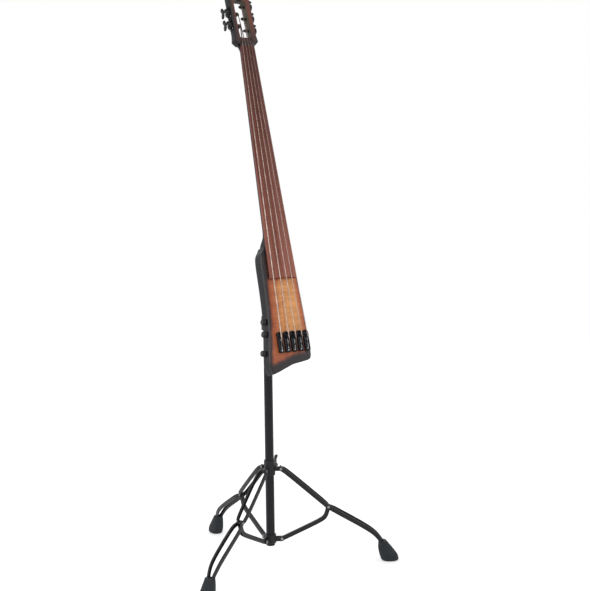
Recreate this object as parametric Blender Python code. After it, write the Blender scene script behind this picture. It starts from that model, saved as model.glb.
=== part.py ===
"""Five-string electric upright bass, fretless, leaning back on a folding tripod.

World frame: metres, +Z up, the instrument faces -Y, its low strings are at -X.
Instrument frame: X across (low strings at -X), Y into the body, Z along the
strings.  Its origin lies on the top face, under the bridge saddles.
"""
from math import asin, atan2, ceil, cos, hypot, pi, radians, sin

import bmesh
import bpy
from mathutils import Matrix, Vector

# Fits
GAP = 0.0003
CUT_PAST = 0.004
BREAK_EDGE = 0.001

# Strings, low to high
STRING_DIAMETERS = (0.0033, 0.0027, 0.0022, 0.0017, 0.0013)
STRING_COUNT = len(STRING_DIAMETERS)
SCALE_LENGTH = 0.864
SADDLE_SPACING = 0.0215
NUT_SPACING = 0.0092
STRING_HEIGHT = 0.022
NUT_ACTION = 0.0016
END_ACTION = 0.0070
FINGERBOARD_RADIUS = 0.130

# Fingerboard and neck
BOARD_END = 0.168
BOARD_NUT_WIDTH = 0.044
BOARD_END_WIDTH = 0.089
BOARD_THICKNESS = 0.0115
NUT_LENGTH = 0.005
BOARD_STEPS = 8
NECK_DEPTH_NUT = 0.014
NECK_DEPTH_HEEL = 0.024
HEEL_START = 0.312
HEEL_END = 0.256
HEEL_STEPS = 5
NECK_ROOT = 0.206
NECK_STEPS = 10
NECK_POWER = 2.3
HEEL_POWER = 9.0
HEAD_POWER = 5.0
VOLUTE_LENGTH = 0.030

# Body
TOP_THICKNESS = 0.005
BODY_THICKNESS = 0.038
BLOCK_WIDTH = 0.056
EDGE_ROUND = 0.004
TOP_EDGE_ROUND = 0.0015
BASS_EDGE = ((-0.0440, 0.262), (-0.0500, 0.2515), (-0.0560, 0.2425), (-0.0597, 0.2310), (-0.0615, 0.2080),
             (-0.0620, 0.1750), (-0.0626, 0.1350), (-0.0645, 0.0850), (-0.0690, 0.0300), (-0.0755, -0.0150),
             (-0.0820, -0.0500), (-0.0843, -0.0740))
TAIL_EDGE = ((-0.0780, -0.100), (-0.0620, -0.0985), (-0.0350, -0.0890), (-0.0060, -0.0790),
             (0.0280, -0.0735), (0.0460, -0.0700), (0.0545, -0.0600))
TREBLE_EDGE = ((0.0560, -0.028), (0.0545, 0.060), (0.0510, 0.158), (0.0470, 0.230), (0.0450, 0.262))
OUTLINE_STEPS = 3

# Head
HEAD_TILT = radians(3.0)
HEAD_THICKNESS = 0.025
HEAD_STEP = 0.0055
HEAD_SHIFT = 0.002
HEAD_HALF_WIDTH = 0.035
HEAD_SHOULDER = 0.0385
HEAD_LENGTH = 0.192
HEAD_CORNER = 0.012
SLOT_HALF_WIDTH = 0.020
SLOT_START = 0.030
SLOT_END = 0.148
SLOT_CORNER = 0.012
RAMP_START = 0.010
RAMP_DEPTH = 0.011
RAMP_HALF_WIDTH = 0.0195
HEAD_FLARE_INSET = 0.006

# Tuning machines: distance of each post from the nut, low string to high
POST_PLACES = (0.0675, 0.1060, 0.1320, 0.0935, 0.0550)
POST_SIDES = (-1, -1, 1, 1, 1)
POST_RADIUS = 0.0042
POST_REACH = 0.017
POST_DEPTH = 0.0135
POST_WAIST = 0.0004
GEAR_TEETH = 16
GEAR_RADIUS = 0.0110
GEAR_WIDTH = 0.0045
TOOTH_DEPTH = 0.0012
GEAR_STANDOFF = 0.0014
WORM_RADIUS = 0.0032
PLATE_THICKNESS = 0.0015
PLATE_LENGTH = 0.034
PLATE_WIDTH = 0.022
PLATE_CORNER = 0.004
PLATE_SHIFT = 0.0035
WORM_LENGTH = 0.010
EAR_WIDTH = 0.0030
EAR_HALF = 0.0042
CAP_RADIUS = 0.0045
CAP_HEIGHT = 0.002
KEY_CLEARANCE = 0.006
KEY_STEM_RADIUS = 0.0026
KEY_SPAN = 0.034
KEY_HEIGHT = 0.017
KEY_THICKNESS = 0.0045
WRAP_TURNS = 1.5
WRAP_GAP = 0.0008
WRAP_MIDDLE = 0.0105
POINTS_PER_TURN = 24

# Bridges
BRIDGE_WIDTH = 0.0160
BRIDGE_FRONT = 0.015
BRIDGE_TAIL = -0.045
BRIDGE_WALL = 0.0025
BRIDGE_FLOOR = 0.0030
BRIDGE_RAIL_HEIGHT = 0.0085
BRIDGE_TAIL_LENGTH = 0.010
SADDLE_LENGTH = 0.010
SADDLE_CROWN = 0.0025
STRING_BREAK = -0.010
STRING_LEAD = 0.004

# Controls and back
KNOB_PLACES = ((0.048, 0.018), (0.013, 0.018), (-0.040, 0.024))
KNOB_RADIUS = 0.0092
KNOB_HEIGHT = 0.0118
KNOB_STANDOFF = 0.0010
KNOB_SHAFT_RADIUS = 0.003
KNOB_SHAFT_LENGTH = 0.008
JACK_PLACE = (-0.035, 0.020)
JACK_FLANGE_RADIUS = 0.011
JACK_FLANGE_THICKNESS = 0.002
JACK_BODY_RADIUS = 0.0065
JACK_BORE_RADIUS = 0.0033
JACK_DEPTH = 0.020
JACK_FLOOR = 0.003
COVER_WIDTH = 0.030
COVER_LENGTH = 0.090
COVER_THICKNESS = 0.0020
COVER_CORNER = 0.005
COVER_CENTRE = (-0.0470, 0.015)

# Mount between the back of the body and the stand
LEAN = radians(16.3)
PIVOT_ALONG = 0.160
PIVOT_DEPTH = 0.0805
PIVOT_FORWARD = 0.0135
PIVOT_HEIGHT = 0.8265
MOUNT_PLATE_WIDTH = 0.044
MOUNT_PLATE_LENGTH = 0.090
MOUNT_PLATE_THICKNESS = 0.004
MOUNT_PLATE_CORNER = 0.008
EAR_THICKNESS = 0.004
EAR_RADIUS = 0.011
TONGUE_WIDTH = 0.020
TILT_BOLT_RADIUS = 0.004
TILT_BOLT_HEAD = 0.004
TILT_BOLT_HEAD_RADIUS = 0.0075
TILT_HEAD_RADIUS = 0.0144
TILT_HEAD_HEIGHT = 0.036
TILT_HEAD_DROP = 0.013
TILT_HEAD_ROOF = 0.010
TILT_KNOB_RADIUS = 0.019
TILT_KNOB_WIDTH = 0.014
TILT_KNOB_POINTS = 25

# Stand
POST_X = 0.0
POST_Y = -0.0902
TUBE_RADIUS = 0.013
TUBE_WALL = 0.0015
INNER_TUBE_WALL = 0.0015
TUBE_PLAY = 0.0004
TUBE_BOTTOM = 0.054
TUBE_TOP = 0.735
INNER_TUBE_BOTTOM = 0.300
CLAMP_HEIGHT = 0.042
CLAMP_LIP = 0.007
CLAMP_WALL = 0.0045
SCREW_RADIUS = 0.0035
SCREW_BOSS_RADIUS = 0.0075
SCREW_BOSS_REACH = 0.0275
SCREW_SHANK = 0.008
WING_SPAN = 0.036
WING_WIDTH = 0.013
WING_THICKNESS = 0.006
WING_RISE = 0.006
HANDLE_RADIUS = 0.006
COLLAR_SCREW_DIRECTION = radians(30.0)
COLLAR_WALL = 0.0035
LEG_DIRECTIONS = tuple(radians(angle) for angle in (-30.0, 90.0, 210.0))
LEG_NAMES = ("right", "rear", "left")
HUB_PIVOT_REACH = 0.034
LEG_PIVOT_HEIGHT = 0.2855
BRACE_PIVOT_HEIGHT = 0.073
LEG_COLLAR_LOW = -0.018
LEG_COLLAR_HIGH = 0.027
COLLAR_SCREW_HEIGHT = 0.0162
BRACE_HUB_LOW = -0.012
BRACE_HUB_HIGH = 0.015
MID_PIVOT = (0.173, 0.168)
LEG_ROUTE = ((0.034, 0.2855), (0.0570, 0.2700), (0.1560, 0.1840), (0.173, 0.168), (0.1990, 0.1540),
             (0.2960, 0.0960), (0.3310, 0.0600), (0.3440, 0.0370))
LEG_SPREADS = (0.0, 0.80, 0.75, 0.0, 0.90, 0.80, 0.05)
LEG_STEPS = 2
BRACE_ROUTE = ((0.034, 0.073), (0.0880, 0.0980), (0.1480, 0.1270), (0.1650, 0.1420), (0.173, 0.168))
BAR_HEIGHT = 0.0125
BAR_WIDTH = 0.0050
BAR_SHEET = 0.0016
BAR_SPREAD = 0.0150
LUG_WIDTH = 0.0090
PIVOT_GAP = 0.0004
PIN_RADIUS = 0.0025
RIVET_HEAD_RADIUS = 0.0045
RIVET_HEAD_HEIGHT = 0.0012
LUG_RADIUS = 0.0065
HUB_SHEET = 0.0025

# Boots: height, radial place, radial and sideways half sizes from the ground up
BOOT_SECTIONS = ((0.0000, 0.3560, 0.0215, 0.0160), (0.0050, 0.3560, 0.0260, 0.0200),
                 (0.0180, 0.3520, 0.0270, 0.0205), (0.0400, 0.3420, 0.0210, 0.0175),
                 (0.0570, 0.3355, 0.0135, 0.0150), (0.0610, 0.3345, 0.0115, 0.0140))
BOOT_SIDES = 14


# Shared helpers


def clear_scene():
    for item in list(bpy.data.objects):
        bpy.data.objects.remove(item, do_unlink=True)


def make_material(name, colour, roughness, metallic=0.0):
    material = bpy.data.materials.new(name)
    material.use_nodes = True
    shader = material.node_tree.nodes["Principled BSDF"]
    shader.inputs["Base Color"].default_value = (*colour, 1.0)
    shader.inputs["Roughness"].default_value = roughness
    shader.inputs["Metallic"].default_value = metallic
    return material


def add_object(name, bm, material=None, parent=None, location=(0, 0, 0), rotation=(0, 0, 0), smooth=True):
    """Turn a bmesh into a named object with outward normals."""
    bmesh.ops.recalc_face_normals(bm, faces=bm.faces)
    mesh = bpy.data.meshes.new(name)
    bm.to_mesh(mesh)
    bm.free()
    item = bpy.data.objects.new(name, mesh)
    bpy.context.scene.collection.objects.link(item)
    item.parent = parent
    item.location = location
    item.rotation_euler = rotation
    if material is not None:
        mesh.materials.append(material)
    if smooth:
        mesh.shade_smooth()
        mesh.set_sharp_from_angle(angle=radians(35))
    return item


def add_helper(bm, parent=None, location=(0, 0, 0), rotation=(0, 0, 0)):
    """A shape that only cuts or joins another piece."""
    item = add_object("helper", bm, None, parent, location, rotation, smooth=False)
    item.hide_render = True
    item.display_type = "WIRE"
    return item


def add_frame(name, parent=None, location=(0, 0, 0), rotation=(0, 0, 0)):
    frame = bpy.data.objects.new(name, None)
    bpy.context.scene.collection.objects.link(frame)
    frame.parent = parent
    frame.location = location
    frame.rotation_euler = rotation
    return frame


def combine(target, helper, operation):
    modifier = target.modifiers.new(operation.lower(), "BOOLEAN")
    modifier.operation = operation
    modifier.solver = "EXACT"
    modifier.object = helper


def cut(target, helper):
    combine(target, helper, "DIFFERENCE")


def join(target, helper):
    combine(target, helper, "UNION")


def round_edges(target, width, segments=2, angle=radians(50)):
    modifier = target.modifiers.new("round", "BEVEL")
    modifier.width = width
    modifier.segments = segments
    modifier.limit_method = "ANGLE"
    modifier.angle_limit = angle


def loft(rings):
    """Closed skin over rings of equal point counts, capped at both ends."""
    bm = bmesh.new()
    loops = [[bm.verts.new(point) for point in ring] for ring in rings]
    count = len(loops[0])
    for low, high in zip(loops, loops[1:]):
        for index in range(count):
            after = (index + 1) % count
            bm.faces.new((low[index], low[after], high[after], high[index]))
    bm.faces.new(loops[0])
    bm.faces.new(loops[-1])
    return bm


def prism(outline, start, end, place):
    """Extrude a flat outline; place(a, b, depth) gives each corner."""
    return loft([[place(a, b, depth) for a, b in outline] for depth in (start, end)])


def box(low, high):
    outline = ((low[0], low[1]), (high[0], low[1]), (high[0], high[1]), (low[0], high[1]))
    return prism(outline, low[2], high[2], lambda a, b, depth: (a, b, depth))


def turned(profile, sides, axis="Z"):
    """Spin (radius, height) corners round an axis.

    The profile starts and ends on the axis, or closes on itself as a tube's does.
    """
    bm = bmesh.new()
    hollow = profile[0][0] > 0.0
    quarter = pi / 2
    turns = {"X": Matrix.Rotation(quarter, 4, "Y"), "Y": Matrix.Rotation(-quarter, 4, "X"),
             "Z": Matrix.Identity(4)}
    corners = [bm.verts.new((radius, 0.0, height)) for radius, height in profile]
    pairs = list(zip(corners, corners[1:]))
    if hollow:
        pairs.append((corners[-1], corners[0]))
    edges = [bm.edges.new(pair) for pair in pairs]
    bmesh.ops.spin(bm, geom=corners + edges, cent=(0, 0, 0), axis=(0, 0, 1), angle=2 * pi, steps=sides)
    bmesh.ops.remove_doubles(bm, verts=bm.verts, dist=1e-6)
    bmesh.ops.transform(bm, matrix=turns[axis], verts=bm.verts)
    return bm


def rod(radius, start, end, sides=16, axis="Z"):
    return turned(((0.0, start), (radius, start), (radius, end), (0.0, end)), sides, axis)


def tube(inner, outer, start, end, sides=24):
    return turned(((inner, start), (outer, start), (outer, end), (inner, end)), sides)


def arc(centre, radius, start, end, steps):
    """Points on a circle from one angle to another, both included."""
    angles = [start + (end - start) * step / steps for step in range(steps + 1)]
    return [(centre[0] + radius * cos(angle), centre[1] + radius * sin(angle)) for angle in angles]


def spline_value(a, b, c, d, t):
    """Catmull-Rom blend from b, at t of 0, to c, at t of 1."""
    bend = 2 * a - 5 * b + 4 * c - d
    twist = 3 * b - a - 3 * c + d
    return 0.5 * (2 * b + (c - a) * t + bend * t * t + twist * t ** 3)


def smooth_line(points, steps):
    """A Catmull-Rom curve through points of any dimension."""
    padded = [points[0], *points, points[-1]]
    line = []
    for corners in zip(padded, padded[1:], padded[2:], padded[3:]):
        for step in range(steps):
            line.append(tuple(spline_value(*values, step / steps) for values in zip(*corners)))
    line.append(tuple(points[-1]))
    return line


def mix(low, high, share):
    return low + (high - low) * share


# Lines that the strings, the board and the neck share


def along_board(z):
    return (z - BOARD_END) / (SCALE_LENGTH - BOARD_END)


def board_half(z):
    return 0.5 * mix(BOARD_END_WIDTH, BOARD_NUT_WIDTH, along_board(z))


def crown_y(z):
    """Middle line of the fingerboard's playing surface."""
    return -STRING_HEIGHT + mix(END_ACTION, NUT_ACTION, along_board(z))


def seat_y(z):
    """Flat face of the neck under the fingerboard."""
    return crown_y(z) + BOARD_THICKNESS


def string_x(index, z):
    return (index - 0.5 * (STRING_COUNT - 1)) * mix(SADDLE_SPACING, NUT_SPACING, z / SCALE_LENGTH)


def arch(x):
    """How far the board's surface drops, away from its middle line."""
    return x * x / (2 * FINGERBOARD_RADIUS)


def string_y(x):
    return -STRING_HEIGHT + arch(x)


def head_point(x, y, z):
    """From the head's own frame, which tilts back at the nut, to the instrument frame."""
    return (x, head_front() + y * cos(HEAD_TILT) + z * sin(HEAD_TILT),
            SCALE_LENGTH + z * cos(HEAD_TILT) - y * sin(HEAD_TILT))


def head_front():
    return crown_y(SCALE_LENGTH) + HEAD_STEP


def front_view(x, z, depth):
    return (x, depth, z)


# Body


def body_outline(left=-1.0, right=1.0):
    """Front view of the body, cut off at two lines along the strings."""
    corners = BASS_EDGE + TAIL_EDGE + TREBLE_EDGE
    line = smooth_line(corners, OUTLINE_STEPS)
    return clip_left(clip_right(line, right), left)


def clip_right(outline, limit):
    return [(-x, z) for x, z in clip_left([(-x, z) for x, z in outline], -limit)]


def clip_left(outline, limit):
    """Keep what lies at X over the limit, with new corners on the line."""
    kept = []
    for start, end in zip(outline, outline[1:] + outline[:1]):
        if start[0] >= limit:
            kept.append(start)
        if (start[0] - limit) * (end[0] - limit) < 0.0:
            share = (limit - start[0]) / (end[0] - start[0])
            kept.append((limit, mix(start[1], end[1], share)))
    return kept


def neck_ring(z, half, depth, power, grow=0.0):
    """One cross-section of the neck: flat in front, rounded or boxy behind."""
    front = seat_y(z) - grow
    ring = []
    for step in range(NECK_STEPS + 1):
        angle = pi * step / NECK_STEPS
        across = abs(cos(angle)) ** (2 / power) * (1 if angle < pi / 2 else -1)
        ring.append(((half + grow) * across, front + (depth + 2 * grow) * sin(angle) ** (2 / power), z))
    return ring


def neck_shape(grow=0.0):
    """From inside the body, past the heel, to under the head."""
    full = BODY_THICKNESS - seat_y(HEEL_END)
    flare = HEAD_SHOULDER - HEAD_FLARE_INSET
    root = BODY_THICKNESS - seat_y(NECK_ROOT)
    rings = [neck_ring(NECK_ROOT - grow, board_half(NECK_ROOT), root, HEEL_POWER, grow),
             neck_ring(HEEL_END, board_half(HEEL_END), full, HEEL_POWER, grow)]
    for step in range(1, HEEL_STEPS):
        share = step / HEEL_STEPS
        z = mix(HEEL_END, HEEL_START, share)
        swell = 0.5 + 0.5 * cos(pi * share)
        depth = mix(NECK_DEPTH_HEEL, full, swell)
        rings.append(neck_ring(z, board_half(z), depth, mix(NECK_POWER, HEEL_POWER, swell ** 3), grow))
    for z in (HEEL_START, mix(HEEL_START, SCALE_LENGTH, 0.5), SCALE_LENGTH - VOLUTE_LENGTH):
        depth = mix(NECK_DEPTH_HEEL, NECK_DEPTH_NUT, (z - HEEL_START) / (SCALE_LENGTH - HEEL_START))
        rings.append(neck_ring(z, board_half(z), depth, NECK_POWER, grow))
    under_head = head_front() + HEAD_THICKNESS - seat_y(SCALE_LENGTH)
    for share, width in ((0.5, 0.12), (0.8, 0.4), (1.15, 1.0)):
        z = SCALE_LENGTH - VOLUTE_LENGTH + share * (VOLUTE_LENGTH + RAMP_START)
        depth = mix(NECK_DEPTH_NUT, under_head, min(share, 1.0) ** 2)
        power = mix(NECK_POWER, HEAD_POWER, width)
        rings.append(neck_ring(z, mix(board_half(z), flare, width), depth, power, grow))
    return loft(rings)


def head_outline():
    """Front view of the head, from behind the nut to its plain rounded end."""
    start = NUT_LENGTH + GAP
    top = HEAD_LENGTH - HEAD_CORNER
    half = HEAD_HALF_WIDTH
    side = [(mix(BOARD_NUT_WIDTH / 2, HEAD_SHOULDER, 0.35), start), (HEAD_SHOULDER - 0.0015, 0.0145),
            (HEAD_SHOULDER, 0.0185), (HEAD_SHOULDER - 0.0010, 0.0240), (half, 0.0400)]
    right = side + arc((half - HEAD_CORNER, top), HEAD_CORNER, 0.0, pi / 2, 4)
    left = [(-x, z) for x, z in reversed(right)]
    return [(x + HEAD_SHIFT, z) for x, z in right + left]


def slot_outline():
    """The long opening between the cheeks, round at both ends."""
    radius = SLOT_CORNER
    inner = SLOT_HALF_WIDTH - radius
    low = SLOT_START + radius
    high = SLOT_END - radius
    corners = arc((inner, low), radius, -pi / 2, 0.0, 4) + arc((inner, high), radius, 0.0, pi / 2, 4)
    corners += arc((-inner, high), radius, pi / 2, pi, 4) + arc((-inner, low), radius, pi, 1.5 * pi, 4)
    return [(x + HEAD_SHIFT, z) for x, z in corners]


def make_neck(body_frame, head_frame, material):
    """Neck, slotted head and the beam that runs through the body, one piece of wood."""
    neck = add_object("neck_through", neck_shape(), material, body_frame)
    half = BLOCK_WIDTH / 2
    beam = prism(body_outline(-half, half), TOP_THICKNESS + GAP, BODY_THICKNESS, front_view)
    cut_high = box((-1, -1, mix(NECK_ROOT, HEEL_END, 0.5)), (1, 1, 1))
    beam_item = add_helper(beam, body_frame)
    cut(beam_item, add_helper(cut_high, body_frame))
    join(neck, beam_item)
    riser_ends = []
    for z in (BOARD_END, HEEL_END):
        edge = board_half(z)
        riser_ends.append([(-edge, TOP_THICKNESS, z), (edge, TOP_THICKNESS, z), (edge, seat_y(z), z),
                           (-edge, seat_y(z), z)])
    join(neck, add_helper(loft(riser_ends), body_frame))
    under_riser = ((-half, BOARD_END), (half, BOARD_END), (half, HEEL_END), (-half, HEEL_END))
    filler = prism(under_riser, TOP_THICKNESS - GAP, TOP_THICKNESS + CUT_PAST, front_view)
    join(neck, add_helper(filler, body_frame))
    head = add_helper(prism(head_outline(), 0.0, HEAD_THICKNESS, front_view), head_frame)
    round_edges(head, 0.0015, 1, radians(60))
    join(neck, head)
    slot = prism(slot_outline(), -CUT_PAST, HEAD_THICKNESS + 2 * CUT_PAST, front_view)
    cut(neck, add_helper(slot, head_frame))
    ramp_end = SLOT_START + SLOT_CORNER
    ramp_side = ((RAMP_START, -CUT_PAST), (RAMP_START, 0.0), (ramp_end, RAMP_DEPTH), (ramp_end, -CUT_PAST))
    left = HEAD_SHIFT - RAMP_HALF_WIDTH
    right = HEAD_SHIFT + RAMP_HALF_WIDTH
    ramp = prism(ramp_side, left, right, lambda z, y, x: (x, y, z))
    cut(neck, add_helper(ramp, head_frame))
    for place, side in zip(POST_PLACES, POST_SIDES):
        reach = sorted((side * (SLOT_HALF_WIDTH - CUT_PAST), side * (HEAD_SHOULDER + CUT_PAST)))
        bore = rod(POST_RADIUS + GAP, *reach, 12, "X")
        cut(neck, add_helper(bore, head_frame, (HEAD_SHIFT, POST_DEPTH, place)))
    return neck


def make_wing(name, left, right, frame, material):
    """One side of the body, glued to the beam, let in round the neck heel."""
    outline = body_outline(left, right)
    slab = prism(outline, TOP_THICKNESS + GAP, BODY_THICKNESS, front_view)
    wing = add_object(name, slab, material, frame)
    rounding = wing.modifiers.new("round_back", "BEVEL")
    rounding.width = EDGE_ROUND
    rounding.segments = 1
    rounding.limit_method = "WEIGHT"
    mark_back_edges(wing, left, right)
    cut(wing, add_helper(neck_shape(GAP), frame))
    return wing


def mark_back_edges(item, left, right):
    """Round only the outer back edge, not the glue lines."""
    weights = item.data.attributes.new("bevel_weight_edge", "FLOAT", "EDGE")
    for edge in item.data.edges:
        ends = [item.data.vertices[index].co for index in edge.vertices]
        behind = all(end.y > BODY_THICKNESS - GAP for end in ends)
        outside = any(left + GAP < end.x < right - GAP for end in ends)
        weights.data[edge.index].value = 1.0 if behind and outside else 0.0


def make_top(frame, material):
    """The figured top, open under the fingerboard."""
    top = add_object("top_plate", prism(body_outline(), 0.0, TOP_THICKNESS, front_view), material, frame)
    round_edges(top, TOP_EDGE_ROUND, 1, radians(60))
    half = board_half(BOARD_END) + GAP
    high = board_half(HEEL_END) + GAP
    past = 1.1 * HEEL_END
    opening = ((-half, BOARD_END - GAP), (half, BOARD_END - GAP), (high, past), (-high, past))
    cut(top, add_helper(prism(opening, -CUT_PAST, TOP_THICKNESS + CUT_PAST, front_view), frame))
    return top


def make_fingerboard(frame, material):
    """Fretless board, arched across, tapering to the nut."""
    rings = []
    for z in (BOARD_END, SCALE_LENGTH - GAP):
        half = board_half(z)
        steps = [2 * step / BOARD_STEPS - 1 for step in range(BOARD_STEPS + 1)]
        ring = [(half * step, crown_y(z) + arch(half * step), z) for step in steps]
        ring += [(half, seat_y(z) - GAP, z), (-half, seat_y(z) - GAP, z)]
        rings.append(ring)
    board = add_object("fingerboard", loft(rings), material, frame)
    round_edges(board, 0.0006, 1, radians(60))
    return board


def make_nut(frame, material):
    """Slotted block at the end of the board."""
    half = BOARD_NUT_WIDTH / 2
    z = SCALE_LENGTH
    steps = [2 * step / BOARD_STEPS - 1 for step in range(BOARD_STEPS + 1)]
    crown = [(half * step, string_y(half * step) + 0.3 * max(STRING_DIAMETERS)) for step in steps]
    outline = [*crown, (half, seat_y(z) - 2 * GAP), (-half, seat_y(z) - 2 * GAP)]
    block = prism(outline, z, z + NUT_LENGTH, lambda x, y, along: (x, y, along))
    nut = add_object("nut", block, material, frame)
    for index, diameter in enumerate(STRING_DIAMETERS):
        route, turns = string_route(index)
        run = Vector(turns[0]) - Vector(route[-1])
        aim = (-asin(run.y / run.length), atan2(run.x, run.z), 0)
        throat = diameter / 2 + GAP
        groove = rod(throat, -CUT_PAST, NUT_LENGTH + CUT_PAST, 10)
        cut(nut, add_helper(groove, frame, route[-1], aim))
        mouth = 0.97 * throat
        top = -CUT_PAST - throat
        opening = box((-mouth, top, -CUT_PAST), (mouth, -0.15 * throat, NUT_LENGTH + CUT_PAST))
        cut(nut, add_helper(opening, frame, route[-1], aim))
    return nut


def side_line(side, z):
    """X of the body's side at a place along the strings: -1 bass, +1 treble."""
    line = body_outline()
    crossings = [mix(a[0], b[0], (z - a[1]) / (b[1] - a[1])) for a, b in zip(line, line[1:] + line[:1])
                 if (a[1] - z) * (b[1] - z) < 0.0]
    return min(crossings) if side < 0 else max(crossings)


def make_knobs(frame, wing, material):
    """Three control knobs on their shafts in the bass side."""
    for number, (z, depth) in enumerate(KNOB_PLACES, 1):
        x = side_line(-1, z)
        tilt = atan2(side_line(-1, z + CUT_PAST) - side_line(-1, z - CUT_PAST), 2 * CUT_PAST)
        low = KNOB_STANDOFF
        high = KNOB_STANDOFF + KNOB_HEIGHT
        shaft = [(0.0, -KNOB_SHAFT_LENGTH), (KNOB_SHAFT_RADIUS, -KNOB_SHAFT_LENGTH),
                 (KNOB_SHAFT_RADIUS, low)]
        cap = [(KNOB_RADIUS, low), (KNOB_RADIUS, low + 0.25 * KNOB_HEIGHT),
               (0.93 * KNOB_RADIUS, high - 2 * BREAK_EDGE), (0.78 * KNOB_RADIUS, high), (0.0, high)]
        place = (x, depth, z)
        facing = (0, -pi / 2 + tilt, 0)
        add_object(f"knob_{number}", turned(shaft + cap, 16), material, frame, place, facing)
        bore = rod(KNOB_SHAFT_RADIUS + GAP, -KNOB_SHAFT_LENGTH - GAP, CUT_PAST, 12)
        cut(wing, add_helper(bore, frame, place, facing))


def make_jack(frame, wing, material):
    """Output socket in the treble side."""
    z, depth = JACK_PLACE
    x = side_line(1, z)
    low = GAP
    high = low + JACK_FLANGE_THICKNESS
    bottom = -JACK_DEPTH + JACK_FLOOR
    outside = [(0.0, -JACK_DEPTH), (JACK_BODY_RADIUS, -JACK_DEPTH), (JACK_BODY_RADIUS, low)]
    flange = [(JACK_FLANGE_RADIUS, low), (JACK_FLANGE_RADIUS, high - 0.5 * BREAK_EDGE),
              (JACK_FLANGE_RADIUS - 0.5 * BREAK_EDGE, high)]
    bore_line = [(JACK_BORE_RADIUS, high), (JACK_BORE_RADIUS, bottom), (0.0, bottom)]
    place = (x, depth, z)
    facing = (0, pi / 2, 0)
    add_object("output_jack", turned(outside + flange + bore_line, 16), material, frame, place, facing)
    bore = rod(JACK_BODY_RADIUS + GAP, -JACK_DEPTH - GAP, CUT_PAST, 16)
    cut(wing, add_helper(bore, frame, place, facing))


def rounded_rectangle(width, length, corner, centre=(0.0, 0.0), steps=2):
    half_a = width / 2 - corner
    half_b = length / 2 - corner
    line = []
    for number, (side_a, side_b) in enumerate(((1, 1), (-1, 1), (-1, -1), (1, -1))):
        middle = (centre[0] + side_a * half_a, centre[1] + side_b * half_b)
        line += arc(middle, corner, number * pi / 2, (number + 1) * pi / 2, steps)
    return line


def make_cover(frame, wing, material):
    """Flush plate over the control cavity, in a rebate of the back."""
    outline = rounded_rectangle(COVER_WIDTH, COVER_LENGTH, COVER_CORNER, COVER_CENTRE)
    wider = COVER_WIDTH + 2 * GAP
    longer = COVER_LENGTH + 2 * GAP
    outside = rounded_rectangle(wider, longer, COVER_CORNER + GAP, COVER_CENTRE)
    low = BODY_THICKNESS - COVER_THICKNESS
    add_object("control_cover", prism(outline, low, BODY_THICKNESS, front_view), material, frame)
    cut(wing, add_helper(prism(outside, low - GAP, BODY_THICKNESS + CUT_PAST, front_view), frame))


# Bridges and strings


def make_bridges(frame, base_material, saddle_material):
    """One rail for each string, with a saddle that slides along it."""
    half = BRIDGE_WIDTH / 2
    inner = half - BRIDGE_WALL
    nose = BRIDGE_FRONT - half
    for index in range(STRING_COUNT):
        number = index + 1
        x = string_x(index, 0.0)
        outline = [(-half, BRIDGE_TAIL), (half, BRIDGE_TAIL)] + arc((0.0, nose), half, 0.0, pi, 6)
        base = prism(outline, -GAP, -BRIDGE_RAIL_HEIGHT, front_view)
        base_item = add_object(f"bridge_base_{number}", base, base_material, frame, (x, 0, 0))
        channel = [(-inner, BRIDGE_TAIL + BRIDGE_TAIL_LENGTH), (inner, BRIDGE_TAIL + BRIDGE_TAIL_LENGTH),
                   *arc((0.0, nose), inner, 0.0, pi, 6)]
        hollow = prism(channel, -BRIDGE_FLOOR, -BRIDGE_RAIL_HEIGHT - CUT_PAST, front_view)
        cut(base_item, add_helper(hollow, frame, (x, 0, 0)))
        make_saddle(number, x, frame, saddle_material)


def saddle_top(index):
    """Height of the saddle's crown over the top plate."""
    return -string_y(string_x(index, 0.0)) - STRING_DIAMETERS[index] / 2 - GAP


def make_saddle(number, x, frame, material):
    """A carriage in the rail with a narrower crowned saddle on it."""
    inner = BRIDGE_WIDTH / 2 - BRIDGE_WALL - GAP
    low = BRIDGE_FLOOR + GAP
    top = saddle_top(number - 1)
    half = SADDLE_LENGTH / 2
    shoulder = BRIDGE_RAIL_HEIGHT + 2 * BREAK_EDGE
    crown = arc((0.0, top - SADDLE_CROWN), SADDLE_CROWN, 0.0, pi, 6)
    outline = [(half, low), (half, shoulder), *crown, (-half, shoulder), (-half, low)]
    saddle = prism(outline, -inner, inner, lambda z, height, across: (across, -height, z))
    add_object(f"bridge_saddle_{number}", saddle, material, frame, (x, 0, 0))


def post_centre(index):
    return (HEAD_SHIFT + POST_SIDES[index] * WRAP_MIDDLE, POST_DEPTH, POST_PLACES[index])


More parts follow.
